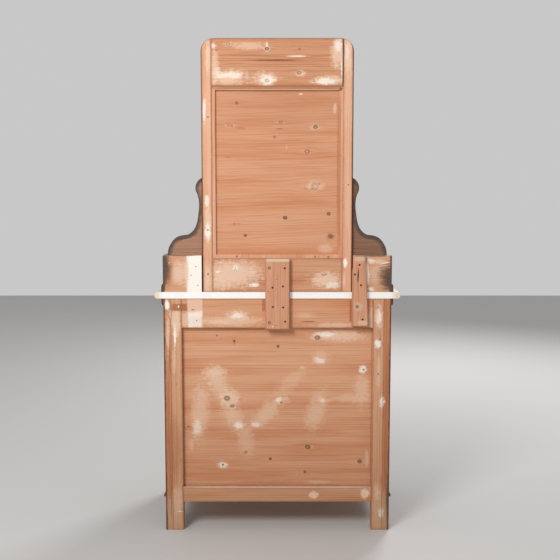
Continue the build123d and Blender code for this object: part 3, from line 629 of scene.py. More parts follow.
@dataclass(frozen=True)
class WalnutFinish(WoodFinish):
    """Polished walnut veneer with its pores, and edges rubbed by use."""

    grain: Grain = Grain.ALONG_Z
    spacing: float = 0.014
    wander: float = 0.03
    pith: Point = (0.0, 0.02, 0.06)
    dark: Rgba = shade(62, 36, 22)
    light: Rgba = shade(122, 76, 46)
    boards: tuple[Corners, ...] = ()
    relief: ClassVar[float] = 0.0002
    constants: ClassVar[dict[str, float]] = {"Coat Weight": 0.25, "Coat Roughness": 0.3,
                                             "Specular IOR Level": 0.35}
    wear_width: ClassVar[float] = 0.0012

    def surface(self, w: Wiring, place: Socket, normal: Socket) -> Surface:
        """Build the veneer's figure, its pores and its worn edges."""
        board = board_axes(w, place, self.grain)
        rings = self.rings(w, board)
        pores = w.use(Effects.pores, {"Vector": board})["Pores"]
        late, fibre, broad = rings["Late"], rings["Fibre"], rings["Broad"]
        colour = w.mix(w.smooth(broad, 0.3, 0.72), self.light, self.dark)
        colour = w.tint(colour, late, 0.7, self.dark)
        colour = w.tint(colour, w.smooth(fibre, 0.45, 0.7), 0.5, shade(190, 170, 150), "MULTIPLY")
        colour = w.tint(colour, pores, 0.65, shade(38, 22, 14))
        x, y, z = w.split(place)
        beside = w.join(w.math("ABSOLUTE", x), y, z)
        for low, high in self.boards:
            edge = w.use(Effects.edge, {"Vector": beside, "Low": low, "High": high,
                                        "Width": self.wear_width})["Edge"]
            colour = w.tint(colour, edge, 0.55, shade(158, 108, 70))
        dust = w.use(Effects.dust, {"Vector": place, "Normal": normal})["Dust"]
        colour = w.tint(colour, dust, 0.22, shade(170, 158, 142))
        roughness = w.plus(w.scaled(pores, 0.18, 0.4), w.times(dust, 0.3))
        height = w.scaled(pores, -0.6, w.times(fibre, 0.15))
        return Surface(colour, roughness, height)


@dataclass(frozen=True)
class VeneeredFinish(Finish):
    """A softwood board with a sheet of walnut glued to its outer side."""

    core: PineFinish
    face: WalnutFinish
    outside: float = 0.3885
    sheet: float = 0.0004
    relief: ClassVar[float] = 0.0004

    def surface(self, w: Wiring, place: Socket, normal: Socket) -> Surface:
        """Build both woods, and show the walnut on the outer sheet alone."""
        inner = self.core.surface(w, place, normal)
        outer = self.face.surface(w, place, normal)
        out = w.math("ABSOLUTE", w.split(place)[0])
        mask = w.smooth(out, self.outside - self.sheet, self.outside)
        run = w.scaled(w.noise(place, 30.0, 4.0, 0.65), 0.009, out)
        stain = w.smooth(run, self.outside - 0.0005, self.outside + 0.0025)
        stained = w.mix(w.times(stain, 0.9), inner.colour, shade(74, 55, 45))
        return Surface(w.mix(mask, stained, outer.colour), w.lerp(mask, inner.roughness, outer.roughness),
                       w.lerp(mask, inner.height, outer.height))


# How far out a bracket reaches at each share of its height, both from 0 to 1.
BRACKET_OUTLINE = ((0.0, 1.0), (0.12, 0.95), (0.224, 0.775), (0.267, 0.42), (0.355, 0.205), (0.53, 0.1),
                   (0.7, 0.081), (0.828, 0.165), (0.94, 0.14), (1.0, 0.0))


@dataclass(frozen=True)
class BracketFinish(WoodFinish):
    """A dark stained board whose edges have kept more of the stain than its middle."""

    spacing: float = 0.008
    wander: float = 0.01
    pith: Point = (0.0, -0.2, 0.05)
    seed: float = 5.0
    foot: float = 0.963
    side: float = 0.2565
    reach: float = 0.117
    rise: float = 0.262
    front_depth: Span = (0.199, 0.2)
    relief: ClassVar[float] = 0.0004

    def surface(self, w: Wiring, place: Socket, normal: Socket) -> Surface:
        """Build the rubbed middle, lighter on the +X bracket as painted light, the dark rim and the dusty
        top.
        """
        rings = self.rings(w, board_axes(w, place, self.grain))
        x, y, z = w.split(place)
        out = w.minus(w.math("ABSOLUTE", x), self.side)
        up = w.over(w.minus(z, self.foot), self.rise)

        def rim_at(height: Socket) -> Socket:
            """How far out the outline lies at a height."""
            node = w.add("ShaderNodeFloatCurve", {"Value": height})
            curve = node.mapping.curves[0]
            curve.points[0].location = BRACKET_OUTLINE[0]
            for point in BRACKET_OUTLINE[1:-1]:
                curve.points.new(*point)
            curve.points[len(curve.points) - 1].location = BRACKET_OUTLINE[-1]
            node.mapping.update()
            return w.times(node.outputs[0], self.reach)

        inside = w.math("MINIMUM", w.minus(rim_at(up), out), w.minus(rim_at(w.plus(up, 0.04)), out))
        inside = w.scaled(w.swing(place, 60.0, 4.0, 0.65), 0.02, inside)
        rubbed = w.smooth(inside, 0.0, 0.018)
        # The rubbed middle is worn wood; it is lighter on the +X bracket than on the -X one as painted light
        # from that side.
        rubbed_lit_and_shaded = w.mix(w.smooth(x, -0.05, 0.05), shade(142, 102, 78), shade(172, 128, 102))
        colour = w.mix(rubbed, shade(86, 69, 60), rubbed_lit_and_shaded)
        colour = w.tint(colour, rings["Late"], 0.4, shade(104, 72, 54))
        colour = w.tint(colour, w.smooth(rings["Fibre"], 0.4, 0.7), 0.5, shade(196, 176, 162), "MULTIPLY")
        front = w.fall(y, *self.front_depth)
        polished = w.mix(w.smooth(rings["Broad"], 0.35, 0.65), shade(98, 60, 38), shade(66, 40, 26))
        colour = w.mix(front, colour, polished)
        dust = w.use(Effects.dust, {"Vector": place, "Normal": normal})["Dust"]
        colour = w.tint(colour, dust, 0.4, shade(176, 164, 148))
        roughness = w.lerp(front, 0.68, 0.36)
        height = w.scaled(rings["Fibre"], 0.6, w.times(rings["Late"], 0.3))
        return Surface(colour, roughness, height)


@dataclass(frozen=True)
class MarbleFinish(Finish):
    """Honed white marble with soft grey veins, yellowed at its ends, with a painted highlight along its rear
    edge.
    """

    yellow_ends: Span = (0.384, 0.414)
    # Where the veins fade out along the rear edge, as a painted highlight.
    painted_highlight_rear: Span = (0.205, 0.232)
    relief: ClassVar[float] = 0.00015
    constants: ClassVar[dict[str, float]] = {"Coat Weight": 0.25, "Coat Roughness": 0.2}

    def surface(self, w: Wiring, place: Socket, normal: Socket) -> Surface:
        """Build the veins, clouds, specks, the yellowed ends and the painted highlight of the rear edge."""
        x, y, z = w.split(place)
        turned = w.join(w.scaled(y, 0.8, x), w.scaled(x, -0.5, y), w.times(z, 1.6))
        drift = w.noise(turned, 3.0, 5.0, 0.6)
        swirl = w.noise(w.join(w.scaled(drift, 0.55, x), w.scaled(drift, 0.4, y), z), 5.0, 6.0, 0.62)
        vein = w.fall(w.math("ABSOLUTE", w.minus(swirl, 0.5)), 0.0, 0.035)
        thread = w.math("ABSOLUTE", w.minus(w.noise(turned, 11.0, 6.0, 0.6), 0.48))
        thread = w.fall(thread, 0.0, 0.014)
        cloud = w.smooth(w.noise(turned, 6.0, 3.0), 0.4, 0.75)
        speck = w.smooth(w.noise(place, 420.0, 2.0), 0.7, 0.76)
        end = w.smooth(w.scaled(w.minus(drift, 0.5), 0.03, w.math("ABSOLUTE", x)), *self.yellow_ends)
        # Painted highlight: the clouds and veins fade out along the rear edge, which is left nearly white.
        within = w.scaled(w.smooth(y, *self.painted_highlight_rear), -0.85, 1.0)
        colour = w.tint(shade(255, 253, 249), cloud, w.times(within, 0.4), shade(226, 226, 222))
        colour = w.tint(colour, vein, w.times(within, 0.5), shade(168, 170, 170))
        colour = w.tint(colour, thread, w.times(within, 0.35), shade(180, 178, 172))
        colour = w.tint(colour, speck, 0.5, shade(150, 148, 142))
        colour = w.tint(colour, end, 0.75, shade(226, 202, 166))
        roughness = w.scaled(cloud, 0.12, 0.3)
        return Surface(colour, roughness, w.scaled(speck, -0.6, w.times(drift, 0.4)))


@dataclass(frozen=True)
class SilverFinish(Finish):
    """Old silvered glass with spots of decay near its rim."""

    decay_width: float = 0.03
    relief: ClassVar[float] = 0.00002
    constants: ClassVar[dict[str, float]] = {"Metallic": 1.0}

    def surface(self, w: Wiring, place: Socket, normal: Socket) -> Surface:
        """Build the clear silver and its spotted rim."""
        low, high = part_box("mirror_glass")
        edge = w.use(Effects.edge, {"Vector": place, "Low": (low.x, -1.0, low.z),
                                    "High": (high.x, 1.0, high.z), "Width": self.decay_width})["Edge"]
        spots = w.smooth(w.noise(place, 130.0, 4.0, 0.7), 0.55, 0.7)
        decay = w.times(edge, spots)
        colour = w.tint(shade(238, 241, 240), decay, 0.85, shade(92, 84, 70))
        roughness = w.scaled(decay, 0.4, 0.02)
        return Surface(colour, roughness, w.noise(place, 3.0, 1.0))


@dataclass(frozen=True)
class MetalFinish(Finish):
    """Worn metal with patches of tarnish or rust."""

    clean: Rgba = shade(196, 158, 92)
    stained: Rgba = shade(92, 66, 36)
    polish: float = 0.28
    relief: ClassVar[float] = 0.0001
    constants: ClassVar[dict[str, float]] = {"Metallic": 1.0}

    def surface(self, w: Wiring, place: Socket, normal: Socket) -> Surface:
        """Build the tarnish and fine scratches."""
        cloud = w.smooth(w.noise(place, 90.0, 5.0, 0.65), 0.4, 0.68)
        scratch = w.noise(w.vector("MULTIPLY", place, (900.0, 900.0, 120.0)), 1.0, 2.0)
        colour = w.tint(self.clean, cloud, 0.75, self.stained)
        roughness = w.plus(w.scaled(cloud, 0.3, self.polish), w.times(scratch, 0.08))
        return Surface(colour, roughness, w.scaled(cloud, 0.5, scratch))


@dataclass(frozen=True)
class PlugFinish(Finish):
    """End grain of a wooden plug over a screw, dark round its rim."""

    places: tuple[Span, ...] = ()
    rim: Span = (0.0018, 0.0032)

    def surface(self, w: Wiring, place: Socket, normal: Socket) -> Surface:
        """Build a pale middle and a dark rim about each plug's own centre."""
        x, _, z = w.split(place)
        least: Any = 1.0
        for across, height in self.places:
            reach = w.vector("LENGTH", w.join(w.minus(x, across), 0.0, w.minus(z, height)))
            least = w.math("MINIMUM", least, reach)
        grit = w.noise(place, 700.0, 3.0)
        rim = w.smooth(w.scaled(w.minus(grit, 0.5), 0.001, least), *self.rim)
        colour = w.mix(rim, shade(190, 142, 104), shade(86, 52, 32))
        return Surface(colour, 0.75, w.times(grit, 0.6))


# Marks and knots, in millimetres, on the faces that the back shows.

# The smears of old plaster and paint down both rear corners.
POST_MARKS = (
    *spots(Tone.PALE, (347, 735, 20, 60, 0.8), (-343.1, 752, 12.6, 30, 0.9)),
    *spots(Tone.ORANGE, (335, 785.5, 29, 13.5, 0.9), soft=0.3, square=1.0, ragged=0.2),
    *spots(Tone.CHALK_AND_HIGHLIGHT, (376, 794, 11, 22, 0.95), soft=0.7, ragged=0.4),
    *spots(Tone.PALE, (374, 690, 10, 90), soft=0.9, ragged=0.6),
    *spots(Tone.CHALK_AND_HIGHLIGHT, (337.5, 788, 3, 4, 0.95), (366.5, 762, 2.2, 18, 0.9), ragged=0.2),
    *spots(Tone.CHALK_AND_HIGHLIGHT, (350.9, 682.7, 4.5, 50, 0.85), soft=0.8),
    *spots(Tone.CHALK_AND_HIGHLIGHT, (-345, 660, 15, 22, 0.9), (-350, 750, 12, 50, 0.6), soft=1.0, ragged=0.7),
    *spots(Tone.BROWN, (-362, 658.4, 1.4, 9, 0.8), ragged=0.2),
    *spots(Tone.PALE, (355, 600, 9, 50, 0.4), (-348, 560, 8, 70, 0.4)),
    *spots(Tone.BROWN, (348.4, 518.4, 1, 6, 0.9), ragged=0.1),
    *spots(Tone.CHALK_AND_HIGHLIGHT, (-362, 455, 12, 26, 0.85), soft=1.0, ragged=0.7),
    *spots(Tone.ORANGE, (-379, 520, 9, 180, 0.55), (-379, 260, 9, 120, 0.5)),
    *spots(Tone.BROWN, (-361.4, 178.5, 1.6, 20, 0.8), ragged=0.3),
    *spots(Tone.BROWN, (369.4, 623.6, 1.8, 90, 0.8), ragged=0.8),
    *spots(Tone.ORANGE, (358, 300, 30, 130, 0.4), (378, 420, 8, 160, 0.5)),
    *spots(Tone.BLEACHED_AND_HIGHLIGHT, (362, 55, 40, 95, 0.5), (-360, 60, 38, 100, 0.5), soft=0.8, ragged=0.4),
    *spots(Tone.PALE, (347, 110, 26, 65, 0.55), soft=0.9),
    *spots(Tone.SMOKE_AND_SHADOW, (390.5, 380, 4.5, 400, 0.9), (-390.5, 380, 4.5, 400, 0.9),
           soft=0.5, square=1.0, ragged=0.12),
    *spots(Tone.SMOKE_AND_SHADOW, (389, 20, 7, 60, 0.8), soft=0.7, ragged=0.3),
    *spots(Tone.CHALK_AND_HIGHLIGHT, (341.1, 66.2, 12.6, 1.6, 0.95), ragged=0.15),
    *spots(Tone.BROWN, (370, 120, 1.6, 90), ragged=0.8),
    *spots(Tone.SMOKE_AND_SHADOW, (-388.5, 110, 11, 130, 0.9), soft=0.7, ragged=0.25),
    *spots(Tone.PALE, (-347.5, 135, 14, 40), soft=0.9),
    *spots(Tone.CHALK_AND_HIGHLIGHT, (-362.7, 63.3, 12, 24, 0.6), soft=0.9),
    *spots(Tone.CHALK_AND_HIGHLIGHT, (-360, 52, 4, 8, 0.8)),
)
# The pale rubbed spots and the dark slits of the sunk panel.
PANEL_MARKS = (
    *spots(Tone.BROWN, (148.8, 661.7, 1.6, 9.5, 0.9), soft=0.3, ragged=0.1),
    *spots(Tone.PALE, (-215, 685, 125, 24, 0.8), (215, 560, 60, 22), (166.2, 465.8, 46, 42, 0.8), soft=0.9),
    *spots(Tone.CHALK_AND_HIGHLIGHT, (-165, 690, 50, 12), (-146.8, 598.5, 26, 12, 0.75, 16), (-296.2, 568, 18, 18, 0.85),
           soft=0.9),
    *spots(Tone.PALE, (-150, 610, 40, 30, 0.45), soft=0.9),
    *spots(Tone.PALE, (-86.4, 573.6, 12, 6, 0.6)),
    *spots(Tone.PALE, (-293.8, 495, 36, 80, 0.5), (-250, 465, 80, 20, 0.4), soft=1.0),
    *spots(Tone.CHALK_AND_HIGHLIGHT, (-4.7, 459, 14, 12.5, 0.95), (-157.5, 458.4, 13, 9.5, 0.8), soft=0.8),
    *spots(Tone.PALE, (-16, 457, 34, 17, 0.5), (-162, 458.4, 35, 16, 0.45), soft=0.9),
    *spots(Tone.PALE, (206, 517, 44, 85, 0.62, -24), (155, 400, 44, 85, 0.56, -28),
           (110, 315, 38, 80, 0.45, -8), soft=1.0),
    *spots(Tone.CHALK_AND_HIGHLIGHT, (134, 370, 22, 14), (76, 372, 24, 14), soft=0.95),
    *spots(Tone.PALE, (36, 415, 38, 95, 0.55, 42), (-45, 520, 34, 95, 0.3, 46),
           (-135, 420, 42, 105, 0.5, 14), (270, 420, 42, 135, 0.62, 4), soft=1.0),
    *spots(Tone.CHALK_AND_HIGHLIGHT, (280, 360, 20, 40, 0.5), soft=0.95),
    *spots(Tone.PALE, (300, 300, 12, 30, 0.5), (-312.8, 248.5, 10, 38, 0.6), (-140, 166, 50, 8, 0.5),
           soft=0.9),
    *spots(Tone.CHALK_AND_HIGHLIGHT, (190.3, 228, 26, 16, 0.75, 20), soft=1.0),
)
# The knots of the sunk panel.
PANEL_KNOTS = knots((208.7, 685.3, 3.2, 0.7, 0.2, 0.0), (148.8, 667, 4, 0.9, 0.1, 0.1),
                    (-2.3, 647.9, 4.6, 0.9, 0.2, 0.1), (-138.2, 678.6, 8, 0.8, 0.45, 0.5),
                    (174.9, 465.1, 8.6, 0.85, 0.5, 0.6), (157.3, 440.3, 6.6, 0.85, 0.45, 0.5),
                    (-13, 449.9, 3.6, 0.7, 0.1, 0.3), (-106.3, 292.2, 7.8, 0.9, 0.45, 0.4),
                    (109.6, 273.9, 5, 0.7, 0.4, 0.3), (24.4, 249.9, 5, 0.9, 0.2, 0.2),
                    (190.3, 228, 3.4, 0.9, 0.0, 0.9), (-288.1, 241, 8, 0.75, 0.1, 0.3),
                    (-96.8, 202.5, 4.6, 0.8, 0.2, 0.2), (-298.5, 566, 3.8, 0.8, 0.2, 0.9),
                    (310, 365, 3, 0.8, 0.1, 0.1), (128, 462, 4.5, 0.3, 0.8, 0.3))
# The strip that a lost batten covered, its nail holes, and the darker orange strips beside the others.
TOP_RAIL_MARKS = (
    *spots(Tone.PALE, (281.5, 788, 26.2, 36, 0.75), soft=0.08, square=1.0, ragged=0.1),
    *spots(Tone.PALE, (318, 742, 20, 30, 0.6), soft=0.5),
    *spots(Tone.CHALK_AND_HIGHLIGHT, (281.5, 742, 26.2, 30, 0.75), soft=0.3, square=1.0, ragged=0.2),
    *spots(Tone.ORANGE, (335, 785.5, 29, 13.5, 0.95), soft=0.3, square=1.0, ragged=0.2),
    *spots(Tone.ORANGE, (-251.2, 775, 4.8, 42, 0.85), soft=0.3, square=1.0, ragged=0.15),
    *spots(Tone.PALE, (165, 738, 160, 24, 0.6), soft=0.95),
    *spots(Tone.BROWN, (-107.1, 736.3, 30, 2.4, 0.75), ragged=0.3),
    *spots(Tone.PALE, (-200, 724, 110, 13, 0.55), soft=0.95),
    *spots(Tone.PALE, (-320, 740, 12, 70, 0.55), soft=0.8),
    *spots(Tone.PALE, (135.5, 757, 50, 24, 0.8), (-90, 757, 50, 12, 0.35), soft=0.9),
    *spots(Tone.CHALK_AND_HIGHLIGHT, (137, 758, 26, 14, 0.6), soft=0.95),
    *spots(Tone.PALE, (190, 735, 60, 9, 0.5), soft=0.9),
    *spots(Tone.INK, (276.2, 740.1, 1.9, 1.9, 0.95), (291.5, 777, 2.6, 2.2, 0.9),
           (286.3, 777.2, 2.4, 2, 0.9), soft=0.3, ragged=0.0),
    *spots(Tone.ORANGE, (46.5, 794, 6.2, 26, 0.75), soft=0.4, square=1.0, ragged=0.15),
)
# Two pale spots, and a painted highlight along the upper edge of the bottom rail.
BOTTOM_RAIL_MARKS = (
    *spots(Tone.PALE, (-125.9, 125, 20, 16), (-305, 130, 18, 22)),
    # Painted highlight along the rail's upper edge.
    *spots(Tone.CHALK_AND_HIGHLIGHT, (0, 152.6, 340, 1.3, 0.8), soft=0.3, square=1.0, ragged=0.12),
)
# The knots of a rear corner.
POST_KNOTS = knots((-350.5, 674, 3.5), (-346.7, 554.5, 3.5, 0.7))
# The lost batten's strip, the smears and the dark ends of the boxes' backs, and a painted shadow of the
# brackets along their top edges.
BOX_BACK_MARKS = (
    *spots(Tone.PALE, (335, 900, 35, 55, 0.75), (-345, 900, 35, 55, 0.5), soft=0.9),
    *spots(Tone.CHALK_AND_HIGHLIGHT, (282, 902, 27.5, 80, 1.0), soft=0.16, square=1.0, ragged=0.14),
    *spots(Tone.PALE, (310, 905, 12, 70, 0.85), soft=0.9),
    *spots(Tone.INK, (276.9, 925.1, 2.1, 2.1, 0.95), (293.8, 896.1, 2.1, 2.1, 0.95),
           (271, 860.9, 2.1, 2.1, 0.9), soft=0.3, ragged=0.0),
    *spots(Tone.BROWN, (384, 915, 30, 66, 0.95), soft=0.7, ragged=0.25),
    *spots(Tone.SMOKE_AND_SHADOW, (389, 928, 20, 56, 1.0), soft=0.5, ragged=0.2),
    *spots(Tone.SMOKE_AND_SHADOW, (391, 880, 11, 66, 1.0), soft=0.4, ragged=0.2),
    # Painted shadow of the bracket along the top edge of the box back.
    *spots(Tone.SMOKE_AND_SHADOW, (330, 964.5, 70, 4.5, 0.8), soft=0.5, ragged=0.3),
    *spots(Tone.BROWN, (-378, 892, 46, 62, 0.9), soft=0.9, ragged=0.35),
    *spots(Tone.SMOKE_AND_SHADOW, (-384, 882, 28, 46, 1.0), soft=0.8, ragged=0.35),
    *spots(Tone.SMOKE_AND_SHADOW, (-390.5, 900, 8, 80, 0.95), soft=0.3, square=1.0, ragged=0.15),
    # Painted shadow of the bracket along the top edge of the box back.
    *spots(Tone.SMOKE_AND_SHADOW, (-335, 964, 55, 6, 0.85), soft=0.5, ragged=0.4),
    *spots(Tone.CHALK_AND_HIGHLIGHT, (-307.5, 900, 7, 55, 0.95, -3)),
    *spots(Tone.CHALK_AND_HIGHLIGHT, (-318, 945, 18, 10, 0.8), (-318, 848, 16, 10), soft=0.9),
    *spots(Tone.PALE, (-342.4, 942.2, 36, 8, 0.8), soft=0.8),
    *spots(Tone.CHALK_AND_HIGHLIGHT, (-366, 937, 20, 2.2, 0.85, -12), ragged=0.2),
    *spots(Tone.PALE, (-362, 928, 24, 2, 0.7, -8), ragged=0.2),
    *spots(Tone.CHALK_AND_HIGHLIGHT, (367.9, 937.8, 2.2, 1.6, 0.9), soft=0.4, ragged=0.0),
)
# The knots of the thin panel behind the glass.
MIRROR_PANEL_KNOTS = knots((136.2, 1474.2, 4.8, 0.7, 0.3, 0.1), (161.4, 1401.4, 6, 0.35, 0.6, 0.6),
                           (152, 1400.5, 3, 0.5, 0.2, 0.2), (-11.6, 1411, 5.2, 0.5, 0.7, 0.4),
                           (-128.5, 1395.1, 6.2, 0.85, 0.45, 0.7), (8.6, 1361.6, 4.6, 0.6, 0.4, 0.2),
                           (-100.2, 1313, 7, 0.6, 0.9, 0.4), (-141.1, 1205.5, 4.2, 0.55, 0.4, 0.2),
                           (-116.8, 1187.4, 4.2, 0.5, 0.4, 0.2), (-127.6, 1196.4, 11, 0.35, 0.9, 0.5),
                           (-26.9, 1090.5, 6.4, 0.95, 0.25, 0.3), (-174.1, 1104, 5.8, 0.9, 0.35, 0.1),
                           (146.4, 1069.8, 3.2, 0.5, 0.1, 0.2), (108.8, 1030.5, 5, 0.85, 0.2, 0.2),
                           (-181.3, 1027.7, 8, 0.65, 0.1, 0.1))
# The small marks of the thin panel, with painted shade over its upper part, along its top and beside the -X
# bead strip, and a darker band along its bottom.
MIRROR_PANEL_MARKS = (
    *spots(Tone.PALE, (-127.6, 1198, 34, 22, 0.5), (-162.5, 985.9, 32, 20, 0.45), soft=0.9),
    # Painted shade: the upper part of the panel is darkened a little.
    *spots(Tone.ORANGE, (0, 1480, 300, 130, 0.28), soft=1.0, ragged=0.1),
    *spots(Tone.BROWN, (167.4, 1294.3, 12, 1.2, 0.6), (-114, 1312, 10, 1.2, 0.6, 4),
           (133, 1070.5, 10, 1.2, 0.45), ragged=0.1),
    *spots(Tone.ORANGE, (121.8, 1391.1, 17, 6, 0.4)),
    *spots(Tone.BROWN, (-7.5, 1388.8, 13.4, 2.2, 0.6), ragged=0.2),
    *spots(Tone.PALE, (-32.1, 1328.6, 1.4, 8), ragged=0.2),
    *spots(Tone.CHALK_AND_HIGHLIGHT, (-78.5, 1504.1, 8, 2.2, 0.8), ragged=0.2),
    *spots(Tone.PALE, (-193.6, 1455.7, 6.8, 22, 0.6)),
    # Darker bands along the bottom and the top of the panel; the top one is painted shade under the top
    # strip.
    *spots(Tone.ORANGE, (0, 958, 210, 14, 0.45), (0, 1522, 210, 16, 0.5), soft=0.8, ragged=0.3),
    *spots(Tone.BROWN, (-181.3, 1027.7, 20, 21, 0.3), soft=1.0),
    # Painted shade in the corner beside the -X bead strip.
    *spots(Tone.ORANGE, (-206, 1240, 6, 280, 0.5), soft=0.7, ragged=0.2),
)
# The rubbed ends and the long dark flame of the mirror's top rail.
MIRROR_RAIL_MARKS = (
    *spots(Tone.BROWN, (7.4, 1613.3, 98, 4, 0.85), soft=0.7, ragged=0.25),
    *spots(Tone.BROWN, (62, 1627, 160, 1.8, 0.5, 1), (-120, 1623.5, 80, 1.6, 0.4, -5),
           (-40, 1599, 170, 1.8, 0.4), (150, 1601, 60, 1.6, 0.4, -3), ragged=0.3),
    *spots(Tone.PALE, (163, 1557, 85, 34, 0.85), soft=0.95),
    *spots(Tone.CHALK_AND_HIGHLIGHT, (-65.7, 1626.4, 38, 2.6, 0.85), ragged=0.3),
    *spots(Tone.CHALK_AND_HIGHLIGHT, (150, 1564, 55, 13, 0.6), (200, 1572, 18, 26, 0.6), soft=0.95),
    *spots(Tone.PALE, (40, 1552, 55, 32, 0.8), (-175, 1548, 65, 22, 0.8), (90.3, 1660, 75, 18, 0.6),
           soft=0.95),
    *spots(Tone.CHALK_AND_HIGHLIGHT, (34.3, 1662, 4.5, 12, 0.85), soft=0.9, ragged=0.2),
    *spots(Tone.PALE, (34.3, 1650.1, 9.5, 9.5, 0.9, 45), square=1.0, ragged=0.2),
    *spots(Tone.CHALK_AND_HIGHLIGHT, (34.1, 1549, 32, 21, 0.75), (-160, 1544, 52, 13, 0.75), (212, 1660, 12, 12),
           soft=0.95),
    *spots(Tone.CHALK_AND_HIGHLIGHT, (-215.5, 1607, 6, 75, 0.95), soft=0.8),
    *spots(Tone.PALE, (-200, 1635, 30, 62, 0.85), (209, 1595, 18, 80), soft=0.95),
    *spots(Tone.CHALK_AND_HIGHLIGHT, (-203, 1660, 17, 28, 0.6), soft=0.95),
    *spots(Tone.PALE, (-79, 1569, 22, 15, 0.6), soft=0.9),
)
# The knots of the mirror's top rail.
MIRROR_RAIL_KNOTS = knots((34.3, 1650.1, 5.6, 0.95, 0.5, 0.0), (162.9, 1665.7, 6, 0.35, 0.9, 0.5),
                          (-74.2, 1650.1, 4, 0.6), (202.5, 1646.5, 4, 0.5),
                          (-72.8, 1572.3, 6, 0.6, 0.4, 0.7), (34.4, 1547.1, 6, 0.55, 0.5, 0.8))
# The rubbed spots of both stiles, and the crack in one.
MIRROR_STILE_MARKS = (
    *spots(Tone.INK, (-221.1, 1607, 1.3, 83, 0.95), soft=0.3, square=1.0, ragged=0.05),
    *spots(Tone.PALE, (230, 1619.8, 11, 60, 0.8), (-235.1, 1623.1, 14, 70, 0.9)),
    *spots(Tone.CHALK_AND_HIGHLIGHT, (244, 1450, 6, 50), (237.2, 1146.9, 10, 26, 0.75), (-232, 1640, 6, 30, 0.4),
           (-231.2, 937.1, 9, 19, 1.0)),
    *spots(Tone.PALE, (235.3, 1070, 14, 80, 0.8), (-227.2, 879, 6, 32)),
    *spots(Tone.CHALK_AND_HIGHLIGHT, (235.3, 1046, 11, 34, 0.75), (235.5, 1035.6, 8, 7, 1.0)),
    *spots(Tone.PALE, (236, 885, 16, 60), soft=0.9),
)
# The knots of both stiles.
MIRROR_STILE_KNOTS = knots((231.9, 1426.9, 3, 0.7), (235.3, 1050.2, 3.6, 0.7), (235.2, 899.5, 3.4, 0.8),
                           (-239.4, 1201.6, 2.2, 0.9, 0.0))
# The rubbed spots and small cuts of the board at the mirror's foot.
MIRROR_BOARD_MARKS = (
    *spots(Tone.PALE, (150, 900, 130, 60, 0.9), (200, 870, 60, 36, 0.6), (-165, 880, 70, 36, 0.9), soft=0.9),
    *spots(Tone.CHALK_AND_HIGHLIGHT, (78.1, 861.9, 24, 9, 0.9), (142.9, 918.7, 12, 12, 0.9), (-190, 862, 35, 14, 0.5),
           soft=0.9),
    *spots(Tone.SMOKE_AND_SHADOW, (144, 917, 1.4, 10.5, 0.85, 12), (140, 913, 1.2, 7, 0.8, -28),
           (-162.5, 897.5, 6.2, 1.6, 0.95, -32), (-154.5, 897.5, 5.8, 1.6, 0.95, 32), (-169, 899, 2, 1, 0.8),
           ragged=0.1),
    *spots(Tone.CHALK_AND_HIGHLIGHT, (202.5, 907.7, 10, 6, 0.6)),
)
# Painted light along the bead strips: a painted shadow under the top rail, a painted highlight on the top
# strip's lower edge, and painted shade down the inner edges of the side strips.
MIRROR_BEAD_MARKS = (
    # Painted shadow of the top rail on the top strip.
    *spots(Tone.ORANGE, (0, 1522.5, 230, 5, 0.75), soft=0.2, square=1.0, ragged=0.1),
    # Painted highlight along the top strip's lower edge.
    *spots(Tone.PALE, (0, 1517.2, 210, 0.9, 0.9), soft=0.3, square=1.0, ragged=0.1),
    # Painted shade down the inner edges of the side strips.
    *spots(Tone.ORANGE, (-210.5, 1240, 3, 280, 0.6), (208.5, 1240, 1.2, 280, 0.6),
           soft=0.3, square=1.0, ragged=0.1),
)
# The knots of the bead strips.
MIRROR_BEAD_KNOTS = knots((137.2, 959.2, 3, 0.8), (-128.1, 958.2, 3, 0.8), (-174.4, 957, 4, 0.8),
                          (-212, 1519, 5, 0.9))
# The cracks and screw holes of the middle batten, and a painted highlight along its chamfered top.
MIDDLE_BATTEN_MARKS = (
    *spots(Tone.BROWN, (14, 850, 2.2, 120, 0.35), ragged=0.3),
    *spots(Tone.BROWN, (-2, 870, 1.8, 90, 0.3)),
    *spots(Tone.BROWN, (3, 883.1, 2.2, 2.2), (30.5, 841.6, 2.6, 2.8, 0.8), (4.7, 725.9, 2.4, 2.4),
           ragged=0.0),
    *spots(Tone.CHALK_AND_HIGHLIGHT, (16, 721.5, 4, 3, 0.6)),
    # Painted highlight along the chamfered top of the batten.
    *spots(Tone.BLEACHED_AND_HIGHLIGHT, (-1, 948.5, 60, 6, 0.9), soft=0.3, square=1.0, ragged=0.12),
)
# The bleached ends and the crack of the left batten.
LEFT_BATTEN_MARKS = (
    *spots(Tone.BLEACHED_AND_HIGHLIGHT, (-274, 953, 30, 12, 0.8), soft=0.8, ragged=0.4),
    *spots(Tone.BLEACHED_AND_HIGHLIGHT, (-276, 790, 22, 20, 0.5), soft=0.9),
    *spots(Tone.PALE, (-290, 735, 22, 10, 0.5)),
    *spots(Tone.INK, (-273.7, 896, 2.8, 27, 0.95, 2), soft=0.5, ragged=0.05),
)

MOULDING_TONES = {"dark": shade(52, 30, 19), "light": shade(100, 62, 38)}
BEAD_TONES = {"dark": shade(44, 25, 16), "light": shade(88, 54, 34)}
KNOB_TONES = {"dark": shade(46, 26, 17), "light": shade(86, 52, 32)}
INSIDE_TONES = {"early": shade(216, 166, 122), "late": shade(180, 118, 76)}

PINE_INSIDE = PineFinish("pine_inside", seed=9.0, **INSIDE_TONES)
PINE_INSIDE_Y = PineFinish("pine_inside_depth", Grain.ALONG_Y, seed=11.0, **INSIDE_TONES)
WALNUT_BEADS = WalnutFinish("walnut_beads", Grain.ALONG_X, seed=23.0, dark=shade(44, 25, 16),
                            light=shade(84, 52, 32))
BRASS = MetalFinish("aged_brass")
IRON = MetalFinish("dark_iron", clean=shade(104, 98, 92), stained=shade(72, 50, 40), polish=0.42)

